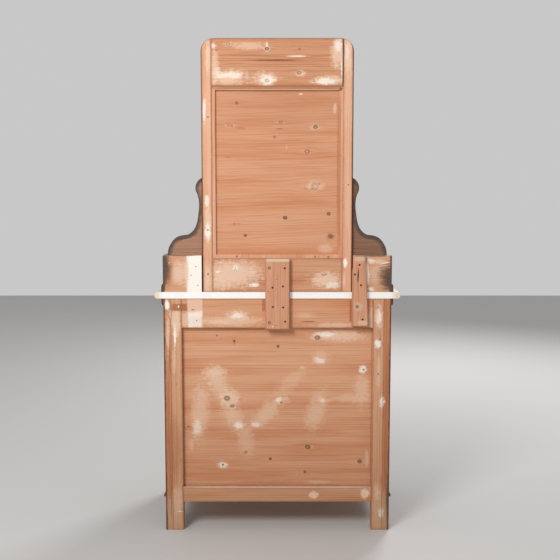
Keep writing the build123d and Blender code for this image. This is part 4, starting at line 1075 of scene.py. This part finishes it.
# Distances at which vertices are merged: in any finished piece, along a CAD mesh's seams, and along the
# finely stepped curve of a bracket, whose steps would cross inside a narrow strip.
WELD = 1e-6
SEAM = 1e-5
CURVE_STEP = 0.002
# The gap that keeps a moulding clear of the glass, and how near a corner lies to the edge it belongs to.
HAIR_GAP = 0.0002
CORNER_REACH = 0.001
# How far along -Y the normal of a face points that looks to the front.
SQUARE_ON = 0.99
# The profile of a circular bevel, and the share of a head's depth that is eased.
ROUND_PROFILE = 0.5
EASED_SHARE = 0.3


def board_corners(x: Span, y: Span, z: Span) -> Corners:
    """The lowest and the highest corner of a board on the +X side, for the wear along its edges."""
    return (x[0], y[0], z[0]), (x[1], y[1], z[1])


def one_side(side: int, inner: float, outer: float) -> Span:
    """A span across on one side of the middle, from the lower X to the higher."""
    low, high = sorted((side * inner, side * outer))
    return low, high


def dress(finish: Finish, *nodes: str) -> None:
    """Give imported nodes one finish.

    Args:
        finish: The finish that they get.
        *nodes: The nodes' names.
    """
    material = finish.material()
    for name in nodes:
        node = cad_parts[name]
        if not node.data.materials:
            node.data.materials.append(material)
        for slot in node.material_slots:
            slot.material = material
        LOG.info("dressed %s in %s", name, finish.name)


def add_object(name: str, data: bpy.types.ID) -> bpy.types.Object:
    """Make an object of some data and link it to the scene."""
    made = bpy.data.objects.new(name, data)
    bpy.context.scene.collection.objects.link(made)
    return made


def add_mesh(name: str, mesh: bmesh.types.BMesh) -> bpy.types.Object:
    """Turn a bmesh into an object and free it."""
    data = bpy.data.meshes.new(name)
    mesh.to_mesh(data)
    mesh.free()
    return add_object(name, data)


def place_piece(mesh: bmesh.types.BMesh, name: str, body: str, finish: Finish) -> None:
    """Turn a finished bmesh into a piece that rides on a body.

    Args:
        mesh: The shape, in metres, in its place.
        name: The piece's name.
        body: The body that it moves with.
        finish: The finish that it gets.
    """
    bmesh.ops.remove_doubles(mesh, verts=mesh.verts, dist=WELD)
    bmesh.ops.recalc_face_normals(mesh, faces=mesh.faces)
    piece = add_mesh(name, mesh)
    piece.data.materials.append(finish.material())
    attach(piece, body)
    LOG.info("built %s on %s", name, body)


def upright_sheet(mesh: bmesh.types.BMesh, x: Span, y: float, z: Span) -> bmesh.types.BMFace:
    """Add one upright rectangle that faces the front.

    Args:
        mesh: The bmesh that it goes into.
        x: Its span across.
        y: Its depth.
        z: Its span of height.

    Returns:
        The new face.
    """
    made = bmesh.ops.create_grid(mesh, x_segments=1, y_segments=1, size=0.5)
    size = Matrix.Diagonal((x[1] - x[0], z[1] - z[0], 1.0, 1.0))
    turn = Matrix.Rotation(math.pi / 2, 4, "X")
    place = Matrix.Translation(((x[0] + x[1]) / 2, y, (z[0] + z[1]) / 2))
    bmesh.ops.transform(mesh, matrix=place @ turn @ size, verts=made["verts"])
    return made["verts"][0].link_faces[0]


@dataclass(frozen=True)
class Strip:
    """The section of a moulded strip, in metres."""

    width: float
    rise: float
    rounding: float
    mitred: bool = True

    def run_round(self, mesh: bmesh.types.BMesh, outline: bmesh.types.BMFace) -> None:
        """Turn a flat outline into a strip that runs round inside it and stands out to the front.

        Args:
            mesh: The bmesh that holds the outline.
            outline: The flat face, whose place is the strip's back.
        """
        kept = set(mesh.faces) - {outline}
        bmesh.ops.inset_region(mesh, faces=[outline], thickness=self.width, use_even_offset=self.mitred,
                               use_boundary=True)
        bmesh.ops.delete(mesh, geom=[outline], context="FACES_ONLY")
        ring = [face for face in mesh.faces if face not in kept]
        raised = bmesh.ops.extrude_face_region(mesh, geom=ring)["geom"]
        lifted = [item for item in raised if isinstance(item, bmesh.types.BMVert)]
        bmesh.ops.translate(mesh, vec=(0.0, -self.rise, 0.0), verts=lifted)
        front = {item for item in raised if isinstance(item, bmesh.types.BMFace)}
        rims = [edge for edge in mesh.edges if sum(face in front for face in edge.link_faces) == 1]
        bmesh.ops.bevel(mesh, geom=rims, offset=self.rounding, offset_type="OFFSET", segments=4,
                        profile=ROUND_PROFILE, affect="EDGES", material=-1, clamp_overlap=True)

    def frame_rectangle(self, name: str, body: str, x: Span, y: float, z: Span, finish: Finish) -> None:
        """Build a walnut piece that runs round inside an upright rectangle.

        Args:
            name: The piece's name.
            body: The body that it moves with.
            x: The rectangle's span across.
            y: Its depth.
            z: Its span of height.
            finish: The finish that it gets.
        """
        mesh = bmesh.new()
        self.run_round(mesh, upright_sheet(mesh, x, y, z))
        place_piece(mesh, name, body, finish)


@dataclass(frozen=True)
class RoundHead:
    """A low round head with an eased rim, such as a pin, a screw or a plug."""

    radius: float
    depth: float
    sides: int
    turn: Matrix = Matrix.Rotation(-math.pi / 2, 4, "X")

    def add(self, mesh: bmesh.types.BMesh, centre: Sequence[float]) -> None:
        """Stand one head on a face.

        Args:
            mesh: The bmesh that it goes into.
            centre: The middle of its foot.
        """
        before = set(mesh.verts)
        foot = bmesh.ops.create_circle(mesh, cap_ends=True, segments=self.sides, radius=self.radius)
        raised = bmesh.ops.extrude_face_region(mesh, geom=[foot["verts"][0].link_faces[0]])["geom"]
        top = [item for item in raised if isinstance(item, bmesh.types.BMVert)]
        bmesh.ops.translate(mesh, vec=(0.0, 0.0, self.depth), verts=top)
        cap = [item for item in raised if isinstance(item, bmesh.types.BMFace)]
        bmesh.ops.bevel(mesh, geom=list(cap[0].edges), offset=self.depth * EASED_SHARE, segments=2,
                        profile=ROUND_PROFILE, affect="EDGES", material=-1)
        made = [vertex for vertex in mesh.verts if vertex not in before]
        bmesh.ops.transform(mesh, matrix=Matrix.Translation(centre) @ self.turn, verts=made)


@dataclass
class BaseCabinet:
    """The base: posts, side frames, rails, the sunk back panel, inside boards, mouldings and marble."""

    half_width: float = 0.390
    side_inner: float = 0.366
    post_inner: float = 0.340
    side_panel_face: float = 0.379
    front: float = -0.217
    post_back: float = -0.171
    stile_front: float = 0.183
    back_panel_rear: float = 0.217
    bottom_rail_rear: float = 0.230
    rear: float = 0.233
    foot: float = 0.101
    panel_bottom: float = 0.153
    panel_top: float = 0.714
    top: float = 0.816

    def dress_back(self) -> None:
        """Give the bare softwood of the back its finishes."""
        dress(PineFinish("pine_back_panel", early=shade(220, 165, 128), late=shade(186, 119, 78),
                         contrast=0.45, seed=2.0, knots=PANEL_KNOTS, patches=PANEL_MARKS,
                         faces_back=self.back_panel_rear, box="back_panel", low_shade=0.6, spacing=0.008),
              "back_panel")
        dress(PineFinish("pine_top_rail", early=shade(218, 160, 121), late=shade(182, 115, 72), seed=4.0,
                         patches=TOP_RAIL_MARKS, faces_back=self.rear, box="back_top_rail",
                         pith=(0.02, -0.3, 0.1)), "back_top_rail")
        dress(PineFinish("pine_bottom_rail", early=shade(196, 145, 109), late=shade(160, 106, 72), seed=6.0,
                         faces_back=self.bottom_rail_rear, box="back_bottom_rail",
                         patches=BOTTOM_RAIL_MARKS), "back_bottom_rail")
        for node in ("rear_post_left", "rear_post_right"):
            dress(PineFinish("pine_" + node, Grain.ALONG_Z, early=shade(214, 162, 125),
                             late=shade(174, 114, 76), seed=7.0 + len(node), patches=POST_MARKS,
                             faces_back=self.rear, box=node, pith=(0.0, 0.25, 0.1), low_shade=0.6,
                             knots=POST_KNOTS), node)

    def dress_sides(self) -> None:
        """Give the side frames softwood cores under a walnut face."""
        across, run = (self.side_inner, self.half_width), (self.post_back, self.stile_front)
        rails = (board_corners(across, run, (self.panel_top, self.top)),
                 board_corners(across, run, (self.foot, self.panel_bottom)))
        side = WalnutFinish("walnut_side", Grain.ALONG_Y, seed=3.0, boards=rails)
        upright = WalnutFinish("walnut_upright", seed=5.0, boards=(
            board_corners(across, (self.stile_front, self.rear), (0.0, self.top)),))
        core = PineFinish("side_stile_core", Grain.ALONG_Z, early=shade(200, 136, 94),
                          late=shade(150, 88, 52), seed=12.0, patches=POST_MARKS, faces_back=self.rear,
                          pith=(0.0, 0.5, 0.1), spacing=0.005, contrast=0.9, low_shade=0.6)
        panel = WalnutFinish("walnut_side_panels", seed=8.0, wander=0.06, pith=(0.0, 0.0, 0.3), spacing=0.018)
        dress(VeneeredFinish("veneered_side_stiles", core, upright), "side_stiles")
        dress(VeneeredFinish("veneered_side_rails", PINE_INSIDE_Y, side), "side_rails")
        dress(VeneeredFinish("veneered_side_panels", PINE_INSIDE_Y, panel, self.side_panel_face),
              "side_panels")

    def dress(self) -> None:
        """Give every node of the base its finish."""
        self.dress_back()
        self.dress_sides()
        posts = board_corners((self.post_inner, self.half_width), (self.front, self.post_back),
                              (0.0, self.top))
        dress(WalnutFinish("walnut_front_posts", seed=13.0, boards=(posts,)),
              "front_post_left", "front_post_right")
        dress(WalnutFinish("walnut_front_rails", Grain.ALONG_X, seed=14.0), "front_rails")
        dress(WalnutFinish("walnut_mouldings", Grain.ALONG_X, seed=15.0, **MOULDING_TONES),
              "cornice_mouldings", "base_mouldings")
        dress(PINE_INSIDE, "bottom_board", "shelf")
        dress(PINE_INSIDE_Y, "shelf_cleats", "drawer_runners")
        dress(MarbleFinish("white_marble"), "marble_top")

    def build(self) -> None:
        """The base needs no piece beyond its nodes."""


@dataclass
class DrawerBoxes:
    """The two drawer boxes on the marble and their small drawers."""

    top_inner: float = 0.2575
    side_inner: float = 0.378
    outer: float = 0.390
    drawer_inner: float = 0.2705
    drawer_outer: float = 0.377
    top_front: float = 0.013
    front: float = 0.018
    drawer_front_back: float = 0.032
    side_rear: float = 0.221
    rear: float = 0.233
    floor: float = 0.865
    drawer_low: float = 0.866
    drawer_high: float = 0.948
    top_low: float = 0.949
    top: float = 0.963
    bead: Strip = Strip(width=0.0035, rise=0.0016, rounding=0.0015)

    def dress(self) -> None:
        """Give the boxes and the small drawers their finishes."""
        dress(PineFinish("pine_box_backs", early=shade(218, 166, 132), late=shade(182, 116, 76), seed=17.0,
                         patches=BOX_BACK_MARKS, faces_back=self.rear, pith=(0.015, -0.4, 0.1)), "box_backs")
        side = board_corners((self.side_inner, self.outer), (self.front, self.side_rear),
                             (self.floor, self.top))
        top = board_corners((self.top_inner, self.outer), (self.top_front, self.side_rear),
                            (self.top_low, self.top))
        front = board_corners((self.drawer_inner, self.drawer_outer), (self.front, self.drawer_front_back),
                              (self.drawer_low, self.drawer_high))
        dress(WalnutFinish("walnut_box_sides", Grain.ALONG_Y, seed=18.0, boards=(side,)), "box_sides")
        dress(WalnutFinish("walnut_box_tops", Grain.ALONG_Y, seed=19.0, boards=(top,)), "box_tops")
        dress(WalnutFinish("walnut_plinths", Grain.ALONG_X, seed=20.0, **MOULDING_TONES), "plinth_mouldings")
        dress(PineFinish("stained_box_floors", Grain.ALONG_Y, early=shade(104, 66, 42),
                         late=shade(66, 40, 26), seed=16.0), "box_floors")
        face = WalnutFinish("walnut_small_fronts", Grain.ALONG_X, seed=21.0, spacing=0.009, boards=(front,))
        knob = WalnutFinish("walnut_small_knobs", Grain.ALONG_Y, seed=22.0, spacing=0.004, **KNOB_TONES)
        for name in SIDES:
            dress(face, f"small_drawer_{name}_front")
            dress(PINE_INSIDE_Y, f"small_drawer_{name}_tray")
            dress(knob, f"small_drawer_{name}_knob")

    def build(self) -> None:
        """Add the bead round each small drawer's front."""
        for name, side in SIDES.items():
            self.bead.frame_rectangle(f"small_drawer_{name}_bead", f"{name}_box_drawer",
                                      one_side(side, self.drawer_inner, self.drawer_outer), self.front,
                                      (self.drawer_low, self.drawer_high), WALNUT_BEADS)


@dataclass
class MirrorFrame:
    """The mirror: walnut frame, glass, softwood frame behind it, and the scroll brackets."""

    panel_rear: float = 0.223
    bead_rear: float = 0.2305
    rear: float = 0.233
    glass_front: float = 0.213
    stiles: Corners = ((0.204, 0.187, 0.838), (0.2565, 0.213, 1.689))
    opening_half: float = 0.204
    opening_low: float = 0.970
    opening_high: float = 1.511
    opening_radius: float = 0.040
    slip: Strip = Strip(width=0.009, rise=0.007, rounding=0.0045)
    bracket_bead: Strip = Strip(width=0.0055, rise=0.0022, rounding=0.002, mitred=False)
    pin: RoundHead = RoundHead(radius=0.0011, depth=0.0006, sides=10)
    pin_foot: float = 0.2298
    pin_side: float = 0.214
    pin_heights: tuple[float, ...] = (1.00, 1.15, 1.30, 1.45)
    pin_places: tuple[float, ...] = (-0.14, 0.0, 0.14)
    pin_rows: tuple[float, ...] = (0.960, 1.5225)

    def dress(self) -> None:
        """Give every node of the mirror its finish."""
        dress(PineFinish("pine_mirror_panel", early=shade(219, 160, 122), late=shade(188, 118, 76), seed=24.0,
                         knots=MIRROR_PANEL_KNOTS, patches=MIRROR_PANEL_MARKS, faces_back=self.panel_rear,
                         spacing=0.009, contrast=0.42, pith=(0.03, -0.9, 0.1)), "mirror_back_panel")
        # The rail's colours are a little darker than the other boards', as painted shade at the top of the
        # mirror.
        dress(PineFinish("pine_mirror_rail", early=shade(209, 150, 111), late=shade(178, 110, 68), seed=26.0,
                         patches=MIRROR_RAIL_MARKS, faces_back=self.rear, box="mirror_back_rail",
                         contrast=0.6, knots=MIRROR_RAIL_KNOTS), "mirror_back_rail")
        for node, seed in (("back_stile_left", 28.0), ("back_stile_right", 31.0)):
            dress(PineFinish("pine_" + node, Grain.ALONG_Z, early=shade(235, 184, 152),
                             late=shade(206, 144, 108), seed=seed, patches=MIRROR_STILE_MARKS,
                             knots=MIRROR_STILE_KNOTS, faces_back=self.rear, box=node, contrast=0.5,
                             pith=(0.0, 0.4, 0.1), spacing=0.006), node)
        dress(PineFinish("pine_mirror_board", early=shade(212, 157, 120), late=shade(182, 116, 76), seed=33.0,
                         patches=MIRROR_BOARD_MARKS, faces_back=self.rear, box="mirror_back_board",
                         contrast=0.6), "mirror_back_board")
        dress(PineFinish("pine_mirror_beads", Grain.ALONG_Z, early=shade(226, 172, 138),
                         late=shade(200, 136, 98), seed=35.0, contrast=0.4, faces_back=self.bead_rear,
                         patches=MIRROR_BEAD_MARKS, knots=MIRROR_BEAD_KNOTS), "mirror_beads")
        dress(WalnutFinish("walnut_mirror_stiles", seed=36.0, boards=(self.stiles,)), "mirror_stiles")
        dress(WalnutFinish("walnut_mirror_rails", Grain.ALONG_X, seed=37.0, wander=0.045),
              "mirror_top_rail", "mirror_bottom_rail")
        dress(SilverFinish("silvered_glass"), "mirror_glass")
        dress(BracketFinish("stained_brackets"), "bracket_left", "bracket_right")

    def build(self) -> None:
        """Add the slip moulding round the glass, the pins of the bead strips and the bracket mouldings."""
        self.slip_moulding()
        mesh = bmesh.new()
        for side in (-1, 1):
            for height in self.pin_heights:
                self.pin.add(mesh, (side * self.pin_side, self.pin_foot, height))
        for across in self.pin_places:
            for height in self.pin_rows:
                self.pin.add(mesh, (across, self.pin_foot, height))
        place_piece(mesh, "mirror_bead_pins", "cabinet", IRON)
        for name in SIDES:
            self.bracket_moulding(name)

    def slip_moulding(self) -> None:
        """Add the dark moulding between the frame and the glass, with its round upper corners."""
        mesh = bmesh.new()
        outline = upright_sheet(mesh, (-self.opening_half, self.opening_half), self.glass_front - HAIR_GAP,
                                (self.opening_low, self.opening_high))
        corners = [vertex for vertex in outline.verts if vertex.co.z > self.opening_high - CORNER_REACH]
        bmesh.ops.bevel(mesh, geom=corners, offset=self.opening_radius, segments=10, profile=ROUND_PROFILE,
                        affect="VERTICES", material=-1)
        mesh.faces.ensure_lookup_table()
        self.slip.run_round(mesh, mesh.faces[0])
        place_piece(mesh, "mirror_slip_moulding", "cabinet",
                    WalnutFinish("walnut_slip", seed=38.0, **BEAD_TONES))

    def bracket_moulding(self, name: str) -> None:
        """Add a raised bead along the outline of a bracket's front.

        Args:
            name: The side that the bracket stands on, left or right.
        """
        mesh = bmesh.new()
        mesh.from_mesh(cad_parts[f"bracket_{name}"].data)
        bmesh.ops.remove_doubles(mesh, verts=mesh.verts, dist=SEAM)
        away = [face for face in mesh.faces if face.normal.y > -SQUARE_ON]
        bmesh.ops.delete(mesh, geom=away, context="FACES")
        bmesh.ops.dissolve_faces(mesh, faces=mesh.faces, use_verts=False)
        bmesh.ops.remove_doubles(mesh, verts=mesh.verts, dist=CURVE_STEP)
        mesh.faces.ensure_lookup_table()
        self.bracket_bead.run_round(mesh, mesh.faces[0])
        place_piece(mesh, f"bracket_{name}_moulding", "cabinet",
                    WalnutFinish("walnut_bracket_beads", seed=39.0, **BEAD_TONES))


@dataclass
class Battens:
    """The two battens left on the back, their screws and the plugs over three of them."""

    face: float = 0.251
    front_of_marks: float = 0.243
    plugs: tuple[Span, ...] = ((0.027, 0.922), (0.027, 0.735), (-0.2711, 0.7903))
    plug_sunk: float = 0.003
    plug: RoundHead = RoundHead(radius=0.0034, depth=0.0026, sides=20)

    def dress(self) -> None:
        """Give the battens and their screws their finishes."""
        rings = tuple(Knot(x, z, 0.0052, 0.6, 0.9, 0.1) for x, z in self.plugs)
        for node, marks, seed in (("batten_middle", MIDDLE_BATTEN_MARKS, 41.0),
                                  ("batten_left", LEFT_BATTEN_MARKS, 43.0)):
            dress(PineFinish("pine_" + node, Grain.ALONG_Z, early=shade(216, 158, 124),
                             late=shade(184, 118, 84), seed=seed, patches=marks, knots=rings,
                             faces_back=self.front_of_marks, box=node, contrast=0.6, pith=(0.0, 0.15, 0.2),
                             spacing=0.009, wander=0.01), node)
        dress(IRON, "batten_screws")

    def build(self) -> None:
        """Add the wooden plugs."""
        mesh = bmesh.new()
        for across, height in self.plugs:
            self.plug.add(mesh, (across, self.face - self.plug_sunk, height))
        place_piece(mesh, "batten_plugs", "cabinet", PlugFinish("plug_end_grain", places=self.plugs))


@dataclass
class FriezeDrawer:
    """The wide drawer under the marble."""

    half_width: float = 0.3385
    front: float = -0.217
    low: float = 0.7075
    high: float = 0.7925
    bead: Strip = Strip(width=0.004, rise=0.0018, rounding=0.0016)

    def dress(self) -> None:
        """Give the drawer its finishes."""
        dress(WalnutFinish("walnut_frieze", Grain.ALONG_X, seed=45.0, wander=0.05, pith=(0.0, 0.6, 0.2),
                           spacing=0.011), "drawer_front")
        dress(PINE_INSIDE_Y, "drawer_sides")
        dress(PINE_INSIDE, "drawer_back", "drawer_bottom")
        dress(WalnutFinish("walnut_knobs", Grain.ALONG_Y, seed=46.0, spacing=0.004, **KNOB_TONES),
              "drawer_knobs")

    def build(self) -> None:
        """Add the bead round the drawer's front."""
        self.bead.frame_rectangle("drawer_bead", "frieze_drawer", (-self.half_width, self.half_width),
                                  self.front, (self.low, self.high), WALNUT_BEADS)


@dataclass
class Doors:
    """The two doors with their panels, mouldings, hinges, lock and bolt."""

    inner: float = 0.001
    outer: float = 0.3385
    low: float = 0.1545
    high: float = 0.6825
    front: float = -0.217
    back: float = -0.197
    stile: float = 0.056
    rail: float = 0.062
    recess: float = 0.008
    panel_pith: float = 0.17
    moulding: Strip = Strip(width=0.010, rise=0.0065, rounding=0.0055)
    hinge_x: float = 0.33905
    hinge_y: float = -0.2095
    hinge_heights: Span = (0.2245, 0.6125)
    hinge_steps: tuple[float, ...] = (-0.017, 0.0, 0.017)
    lock_screw_x: Span = (0.007, 0.041)
    lock_screw_z: Span = (0.432, 0.478)
    lock_screw_foot: float = -0.1851
    lock_screw: RoundHead = RoundHead(radius=0.0024, depth=0.0009, sides=14)

    def dress(self) -> None:
        """Give the doors and their fittings their finishes."""
        depth, height = (self.front, self.back), (self.low, self.high)
        stiles = (board_corners((self.inner, self.inner + self.stile), depth, height),
                  board_corners((self.outer - self.stile, self.outer), depth, height))
        for (name, side), seed in zip(SIDES.items(), (47.0, 49.0)):
            dress(WalnutFinish(f"walnut_door_{name}", seed=seed, boards=stiles), f"door_{name}_frame")
            dress(WalnutFinish(f"walnut_panel_{name}", seed=50.0, wander=0.07, spacing=0.016,
                               pith=(0.0, side * self.panel_pith, 0.12), light=shade(134, 86, 52)),
                  f"door_{name}_panel")
        dress(BRASS, "post_hinge_leaves", "door_left_hinge_leaves", "door_right_hinge_leaves", "door_lock")
        dress(IRON, "door_left_bolt", "lock_bolt", "lock_key")

    def build(self) -> None:
        """Add the panel mouldings and the screws of the hinges and the lock."""
        finish = WalnutFinish("walnut_door_mouldings", seed=51.0, **BEAD_TONES)
        for name, side in SIDES.items():
            self.moulding.frame_rectangle(
                f"door_{name}_moulding", f"{name}_door",
                one_side(side, self.inner + self.stile, self.outer - self.stile), self.front + self.recess,
                (self.low + self.rail, self.high - self.rail), finish)
            screw = RoundHead(radius=0.0024, depth=0.0001, sides=14,
                              turn=Matrix.Rotation(side * math.pi / 2, 4, "Y"))
            mesh = bmesh.new()
            for height in self.hinge_heights:
                for step in self.hinge_steps:
                    screw.add(mesh, (side * self.hinge_x, self.hinge_y, height + step))
            place_piece(mesh, f"door_{name}_hinge_screws", f"{name}_door", BRASS)
        mesh = bmesh.new()
        for across in self.lock_screw_x:
            for height in self.lock_screw_z:
                self.lock_screw.add(mesh, (across, self.lock_screw_foot, height))
        place_piece(mesh, "lock_screws", "right_door", BRASS)


@dataclass
class Studio:
    """The pale floor, the lamps, the surroundings and the camera."""

    floor_half: float = 7.0
    floor_drop: float = 0.0005
    lens: float = 53.36
    sensor: float = 36.0
    camera_place: tuple[float, float, float] = (-0.0092, 3.048, 1.148)
    camera_pitch: float = 5.45
    aim: tuple[float, float, float] = (0.0, 0.0, 0.8)
    lamp_size: float = 1.2

    def floor(self) -> None:
        """Lay the pale floor."""
        mesh = bmesh.new()
        bmesh.ops.create_grid(mesh, x_segments=4, y_segments=4, size=self.floor_half)
        floor = add_mesh("studio_floor", mesh)
        floor.location.z = -self.floor_drop
        material = bpy.data.materials.new("studio_floor_paint")
        material.use_nodes = True
        shader = material.node_tree.nodes["Principled BSDF"]
        shader.inputs["Base Color"].default_value = shade(196, 194, 192)
        shader.inputs["Roughness"].default_value = 0.8
        floor.data.materials.append(material)

    def lamp(self, name: str, place: tuple[float, float, float], power: float) -> None:
        """Hang one soft lamp that looks at the middle of the washstand.

        Args:
            name: The lamp's name.
            place: Where it hangs.
            power: Its power in watts.
        """
        data = bpy.data.lights.new(name, "AREA")
        data.energy = power
        data.size = self.lamp_size
        lamp = add_object(name, data)
        lamp.location = place
        lamp.rotation_euler = (Vector(self.aim) - Vector(place)).to_track_quat("-Z", "Y").to_euler()

    def surroundings(self) -> None:
        """Light the scene evenly, and show a pale grey behind it."""
        world = bpy.data.worlds.new("studio_air")
        bpy.context.scene.world = world
        world.use_nodes = True
        world.node_tree.nodes.clear()
        w = Wiring(world.node_tree)
        rays = w.add("ShaderNodeLightPath").outputs
        seen = w.math("MAXIMUM", rays["Is Camera Ray"], rays["Is Glossy Ray"])
        light = w.add("ShaderNodeBackground", {"Color": (1.0, 1.0, 1.0, 1.0), "Strength": 0.5})
        wall = w.add("ShaderNodeBackground", {"Color": shade(200, 200, 200), "Strength": 1.0})
        both = w.add("ShaderNodeMixShader", {0: seen, 1: light.outputs[0], 2: wall.outputs[0]})
        w.add("ShaderNodeOutputWorld", {"Surface": both.outputs[0]})

    def camera(self) -> None:
        """Stand the camera where the photograph was taken, behind the washstand."""
        data = bpy.data.cameras.new("photo_camera")
        data.sensor_width = self.sensor
        data.lens = self.lens
        camera = add_object("photo_camera", data)
        camera.location = self.camera_place
        camera.rotation_euler = (math.radians(90.0 - self.camera_pitch), 0.0, math.pi)
        bpy.context.scene.camera = camera

    def build(self) -> None:
        """Set up the whole studio."""
        self.camera()
        self.floor()
        self.lamp("key_lamp_back", (1.6, 3.0, 2.8), 88.0)
        self.lamp("key_lamp_front", (-1.6, -3.2, 2.8), 92.0)
        self.surroundings()
        bpy.context.scene.view_settings.view_transform = "Standard"


def main() -> None:
    """Build and dress the washstand and its studio."""
    logging.basicConfig(level=logging.INFO, format="%(message)s")
    Studio().build()
    for part in (BaseCabinet(), DrawerBoxes(), MirrorFrame(), Battens(), FriezeDrawer(), Doors()):
        part.dress()
        part.build()


if __name__ == "__main__":
    main()
